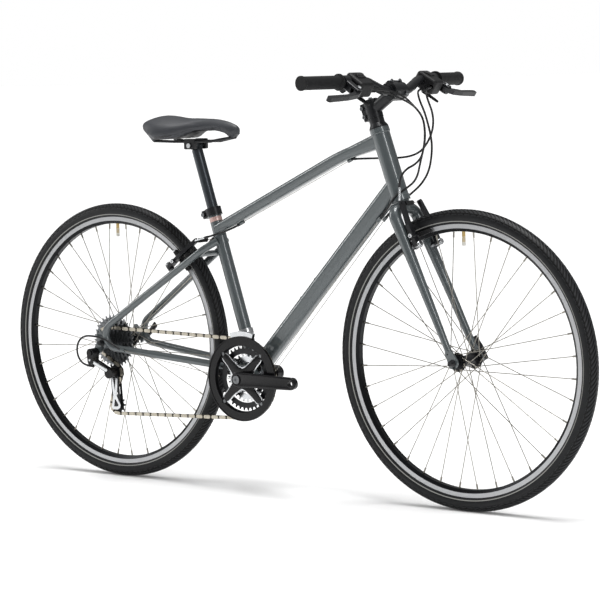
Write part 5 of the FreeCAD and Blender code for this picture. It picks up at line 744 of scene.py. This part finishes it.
def flat_plate(name, outlines, depth, edge, across, up, centre, material, body):
    """A plate cut to outlines, the first its rim and the rest its holes, with rounded edges."""
    bpy.ops.object.select_all(action="DESELECT")
    curve = bpy.data.curves.new(name, "CURVE")
    curve.dimensions = "2D"
    curve.fill_mode = "BOTH"
    curve.extrude, curve.bevel_depth, curve.bevel_resolution, curve.offset = depth / 2 - edge, edge, 2, -edge
    for outline in outlines:
        spline = curve.splines.new("POLY")
        spline.points.add(len(outline) - 1)
        for point, (x, y) in zip(spline.points, outline):
            point.co = (x, y, 0, 1)
        spline.use_cyclic_u = True
    plate = bpy.data.objects.new(name, curve)
    bpy.context.scene.collection.objects.link(plate)
    plate.select_set(True)
    bpy.context.view_layer.objects.active = plate
    bpy.ops.object.convert(target="MESH")
    plate = bpy.context.object
    turned = Matrix((across, up, across.cross(up))).transposed().to_4x4()
    plate.matrix_world = Matrix.Translation(centre) @ turned
    return finish_piece(apply_place(plate), material, body)


FITTING_SIDES, FITTING_SEGMENTS, SHARP_CORNER = 20, 2, math.radians(50)
FLUTE_INSET_SHARE, FLUTE_DEPTH_SHARE = 0.05, 0.12
SOCKET_DEPTH_SHARE, SOFT_EDGE_SHARE = 0.6, 0.1
WALL_FACING, END_FACING = 0.5, 0.99


def round_fitting(name, start, way, radius, length, material, body, socket=0, fluted=False):
    """A turned fitting: a screw head with its socket, a fluted adjuster or a plain ferrule."""
    bpy.ops.object.select_all(action="DESELECT")
    bpy.ops.mesh.primitive_cylinder_add(vertices=FITTING_SIDES, radius=radius, depth=length,
                                        location=start + way * (length / 2),
                                        rotation=way.to_track_quat("Z", "Y").to_euler())
    piece = apply_place(bpy.context.object)
    piece.name = name
    if fluted:
        pick_faces(piece, lambda face: abs(face.normal.dot(way)) < WALL_FACING)
        bpy.ops.object.mode_set(mode="EDIT")
        bpy.ops.mesh.inset(thickness=radius * FLUTE_INSET_SHARE, depth=-radius * FLUTE_DEPTH_SHARE, use_individual=True)
        bpy.ops.object.mode_set(mode="OBJECT")
    if socket:
        pick_faces(piece, lambda face: face.normal.dot(way) > END_FACING)
        bpy.ops.object.mode_set(mode="EDIT")
        bpy.ops.mesh.inset(thickness=radius - socket)
        bpy.ops.mesh.extrude_region_move(TRANSFORM_OT_translate={"value": way * (-length * SOCKET_DEPTH_SHARE)})
        bpy.ops.object.mode_set(mode="OBJECT")
    soft = piece.modifiers.new("soft_edge", "BEVEL")
    soft.width, soft.segments, soft.angle_limit = radius * SOFT_EDGE_SHARE, FITTING_SEGMENTS, SHARP_CORNER
    bpy.ops.object.modifier_apply(modifier=soft.name)
    return finish_piece(piece, material, body)


CRANK_REACH = 170 * MM
CRANK_ROOT, CRANK_TIP = 18.5 * MM, 15.3 * MM
CRANK_DEPTH, CRANK_EDGE = 10 * MM, 2.6 * MM
CRANK_ROOT_LINE, CRANK_TIP_LINE = 78 * MM, 87.6 * MM
BOLT_HOLE, PEDAL_HOLE = 11.2 * MM, 8 * MM
for side, sign in (("right", -1), ("left", 1)):
    root = BRACKET + Y_AXIS * (sign * CRANK_ROOT_LINE)
    tip = BRACKET + Vector((-sign * CRANK_REACH, sign * CRANK_TIP_LINE, 0))
    along = tip - root
    flat_plate(side + "_crank_face",
               [strap_outline((0, 0), CRANK_ROOT, (along.length, 0), CRANK_TIP),
                round_outline((0, 0), BOLT_HOLE), round_outline((along.length, 0), PEDAL_HOLE)],
               CRANK_DEPTH, CRANK_EDGE, along.normalized(), Z_AXIS, root, GLOSSY, "crankset")

ARM_STATIONS = ((17, 17), (30, 12), (52, 9), (72, 8.5), (77, 6))
ARM_COUNT, ARM_START = 4, 45
SPIDER_MARGIN, SPIDER_EDGE_SHARE = 3.2, 0.3
SPIDER_LINES = (("spider_face", GLOSSY, "black_alloy", -62.9 * MM, 2.4 * MM, 0),
                ("spider_edge", POLISHED, "silver_alloy", -61.1 * MM, 0.9 * MM, SPIDER_MARGIN))


def star_outline(margin):
    """Tapered arms, from stations along each arm and its half width there, in millimetres."""
    points = []
    for arm in range(ARM_COUNT):
        turn = math.radians(ARM_START + 360 / ARM_COUNT * arm)
        rim = [(reach, -half - margin) for reach, half in ARM_STATIONS]
        rim += [(reach, half + margin) for reach, half in reversed(ARM_STATIONS)]
        points += [((reach * math.cos(turn) - left * math.sin(turn)) * MM,
                    (reach * math.sin(turn) + left * math.cos(turn)) * MM) for reach, left in rim]
    return points


for name, material, slot, line, depth, margin in SPIDER_LINES:
    flat_plate(name, [star_outline(margin)], depth, depth * SPIDER_EDGE_SHARE, -X_AXIS, Z_AXIS,
               BRACKET + Y_AXIS * line, material, "crankset")

CAGE_RIM = [(-521, 258), (-518.5, 236), (-515.5, 214), (-519, 196), (-522, 182), (-517, 177.5), (-502, 178),
            (-494, 182), (-491.5, 190), (-497, 201), (-503.5, 213), (-501.5, 232), (-499.5, 258), (-506, 258.6),
            (-507.5, 240), (-509.5, 226), (-512, 240), (-514, 258.6)]
CAGE_WINDOW = [(-513.5, 185.5), (-500.5, 186.5), (-498.5, 190), (-507.5, 203.5), (-511, 203)]
CAGE_LINE, CAGE_DEPTH, CAGE_EDGE = -53.5 * MM, 1.6 * MM, 0.4 * MM
flat_plate("mech_cage_plate", [[(x * MM, z * MM) for x, z in outline] for outline in (CAGE_RIM, CAGE_WINDOW)],
           CAGE_DEPTH, CAGE_EDGE, X_AXIS, Z_AXIS, Y_AXIS * CAGE_LINE, POLISHED, "frame")

LINK_START, LINK_END = Vector((-0.553, -0.0955, 0.3065)), Vector((-0.517, -0.0775, 0.2815))
LINK_START_RADIUS, LINK_END_RADIUS = 4.2 * MM, 4.8 * MM
LINK_DEPTH, LINK_EDGE = 5 * MM, 2 * MM
span = LINK_END - LINK_START
along = span.normalized()
flat_plate("mech_link_cover", [strap_outline((0, 0), LINK_START_RADIUS, (span.length, 0), LINK_END_RADIUS)],
           LINK_DEPTH, LINK_EDGE, along, along.cross(Y_AXIS).normalized(), LINK_START, POLISHED, "frame")

LEVER_PIVOT = Vector((0.3657, 0.1747, 0.974))
LEVER_UP = Vector((0.525, 0.0719, 0.848))
POD_MIDDLE = Vector((0.346, 0.136, 1.2))
PAD_MIDDLES = {"front": Vector((0.419, 0.2, 0.6405)), "rear": Vector((-0.3045, 0.2, 0.562))}
LOOK_FROM, SINK = 100 * MM, 1 * MM
SCREW_RADIUS, SCREW_LENGTH, SCREW_SOCKET = 4.6 * MM, 4 * MM, 2.2 * MM
NUT_RADIUS, NUT_LENGTH, NUT_SOCKET = 5 * MM, 4.5 * MM, 2.4 * MM
WINDOW_REACH, WINDOW_RADIUS = 5 * MM, 6 * MM
WINDOW_DEPTH, WINDOW_EDGE = 2.4 * MM, 0.7 * MM
for side, sign in (("right", -1), ("left", 1)):
    mirrored = Vector((1, sign, 1))
    way = (LEVER_UP * mirrored).normalized()
    found, place, normal, index = nodes["lever_brackets"].ray_cast(LEVER_PIVOT * mirrored + way * LOOK_FROM, -way)
    if found:
        round_fitting(side + "_lever_screw", place - way * SINK, way, SCREW_RADIUS, SCREW_LENGTH, POLISHED,
                      "steering", socket=SCREW_SOCKET)
    found, place, normal, index = nodes["shifter_pods"].ray_cast(POD_MIDDLE * mirrored, -Z_AXIS)
    if found:
        across = Y_AXIS.cross(normal).normalized()
        outline = strap_outline((-WINDOW_REACH, 0), WINDOW_RADIUS, (WINDOW_REACH, 0), WINDOW_RADIUS)
        flat_plate(side + "_gear_window", [outline], WINDOW_DEPTH, WINDOW_EDGE, normal.cross(across).normalized(),
                   -across, place, WINDOW, "steering")
    outward = Y_AXIS * sign
    for end, middle in PAD_MIDDLES.items():
        arm = f"{end}_{side}_brake_arm"
        found, place, normal, index = nodes[arm].ray_cast(middle * mirrored, -outward)
        if found:
            round_fitting(f"{end}_{side}_pad_nut", place - outward * SINK, outward, NUT_RADIUS, NUT_LENGTH, POLISHED,
                          arm, socket=NUT_SOCKET)

ADJUSTER_RADIUS, ADJUSTER_LENGTH = 4.7 * MM, 14 * MM
FERRULE_RADIUS, FERRULE_LENGTH = 3.2 * MM, 11 * MM
LEVER_LEVEL = 0.9
for name, path, start_body, end_body in CORD_ENDS:
    leaves = (path[1] - path[0]).normalized()
    enters = (path[-2] - path[-1]).normalized()
    if path[0].z > LEVER_LEVEL:
        round_fitting(name + "_start", path[0] - leaves * SINK, leaves, ADJUSTER_RADIUS, ADJUSTER_LENGTH, NYLON,
                      start_body, fluted=True)
    else:
        round_fitting(name + "_start", path[0] - leaves * SINK, leaves, FERRULE_RADIUS, FERRULE_LENGTH, BLACK,
                      start_body)
    round_fitting(name + "_end", path[-1] - enters * SINK, enters, FERRULE_RADIUS, FERRULE_LENGTH, BLACK, end_body)

CAP_LENGTH, CAP_SIZE, VALVE_END = 21 * MM, 4.5 * MM, 266 * MM
for end, axle in WHEELS.items():
    round_fitting(end + "_valve_cap", axle + Z_AXIS * VALVE_END, Z_AXIS, CAP_SIZE, CAP_LENGTH, PALE, end + "_wheel",
                  fluted=True)

# Studio

CAMERA_PLACE = Vector((3.6762, -4.6931, 1.0232))
CAMERA_YAW, CAMERA_PITCH, CAMERA_ROLL = -0.65766, -0.09245, -0.02559
SENSOR_MM, PHOTO_PIXELS, FOCUS_PIXELS = 36, 600, 2465.7


def add_camera():
    """The camera that was fitted to the wheels' outlines."""
    level = Euler((math.pi / 2 + CAMERA_PITCH, 0, -CAMERA_YAW)).to_matrix()
    turned = level @ Matrix.Rotation(CAMERA_ROLL, 3, "Z")
    bpy.ops.object.camera_add(location=CAMERA_PLACE, rotation=turned.to_euler())
    camera = bpy.context.object
    camera.data.sensor_width = SENSOR_MM
    camera.data.lens = FOCUS_PIXELS / PHOTO_PIXELS * SENSOR_MM
    bpy.context.scene.camera = camera


def add_light(name, place, target, width, height, watts):
    """A soft box of a given size that faces a point."""
    bpy.ops.object.light_add(type="AREA", location=place)
    light = bpy.context.object
    light.name = name
    light.data.shape = "RECTANGLE"
    light.data.size, light.data.size_y, light.data.energy = width, height, watts
    light.rotation_euler = (Vector(target) - Vector(place)).to_track_quat("-Z", "Y").to_euler()


FLOOR_METRES, FLOOR_GLOW = 400, 0.06
WALL_LIGHT, CEILING_LIGHT = 0.16, 0.5
SKY_STRENGTH, SKY_SPREAD, SKY_LEAN = 2.7, 30, (0, 1)
SOFT_BOXES = {"left_box": ((-4.4, -1.6, 2.3), 0.7, 60), "right_box": ((3.6, -1.4, 2.0), 0.5, 40)}
BOX_TARGET, BOX_HEIGHT = (0, 0, 0.6), 2.6
CEILING_PLACE = (0, 0, 4)


def add_floor():
    """A pale paper floor that glows a little, as white paper lit to just under the camera's white does."""
    bpy.ops.mesh.primitive_plane_add(size=FLOOR_METRES, location=(0, 0, 0))
    floor = bpy.context.object
    floor.name = "studio_floor"
    material, tree, shader = new_material("studio_paper", "f2f2f2", Roughness=0.95, Specular_IOR_Level=0.0,
                                          Emission_Color=(1, 1, 1, 1), Emission_Strength=FLOOR_GLOW)
    floor.data.materials.append(material)


def add_room():
    """White surroundings that light the object less than they show, and more from above than from the sides."""
    world = bpy.data.worlds.new("studio")
    world.use_nodes = True
    tree = world.node_tree
    lit = tree.nodes["Background"]
    lit.inputs["Color"].default_value = (1, 1, 1, 1)
    way = add_node(tree, "TexCoord")
    split = add_node(tree, "SeparateXYZ", {}, {"Vector": way.outputs["Generated"]})
    rise = add_node(tree, "MapRange", {"To Min": WALL_LIGHT, "To Max": CEILING_LIGHT}, {"Value": split.outputs["Z"]})
    tree.links.new(rise.outputs["Result"], lit.inputs["Strength"])
    seen = add_node(tree, "Background", {"Color": (1, 1, 1, 1), "Strength": 1})
    path = add_node(tree, "LightPath")
    both = add_node(tree, "MixShader", {}, {0: path.outputs["Is Camera Ray"], 1: lit.outputs[0], 2: seen.outputs[0]})
    tree.links.new(both.outputs[0], tree.nodes["World Output"].inputs["Surface"])
    bpy.context.scene.world = world


def add_lights():
    """A wide soft ceiling and two tall soft boxes that draw the highlight lines."""
    bpy.ops.object.light_add(type="SUN", location=CEILING_PLACE,
                             rotation=[math.radians(turn) for turn in (*SKY_LEAN, 0)])
    ceiling = bpy.context.object
    ceiling.name = "ceiling"
    ceiling.data.energy = SKY_STRENGTH
    ceiling.data.angle = math.radians(SKY_SPREAD)
    for name, (place, width, watts) in SOFT_BOXES.items():
        add_light(name, place, BOX_TARGET, width, BOX_HEIGHT, watts)


add_camera()
add_floor()
add_room()
add_lights()
bpy.context.scene.view_settings.view_transform = "Standard"
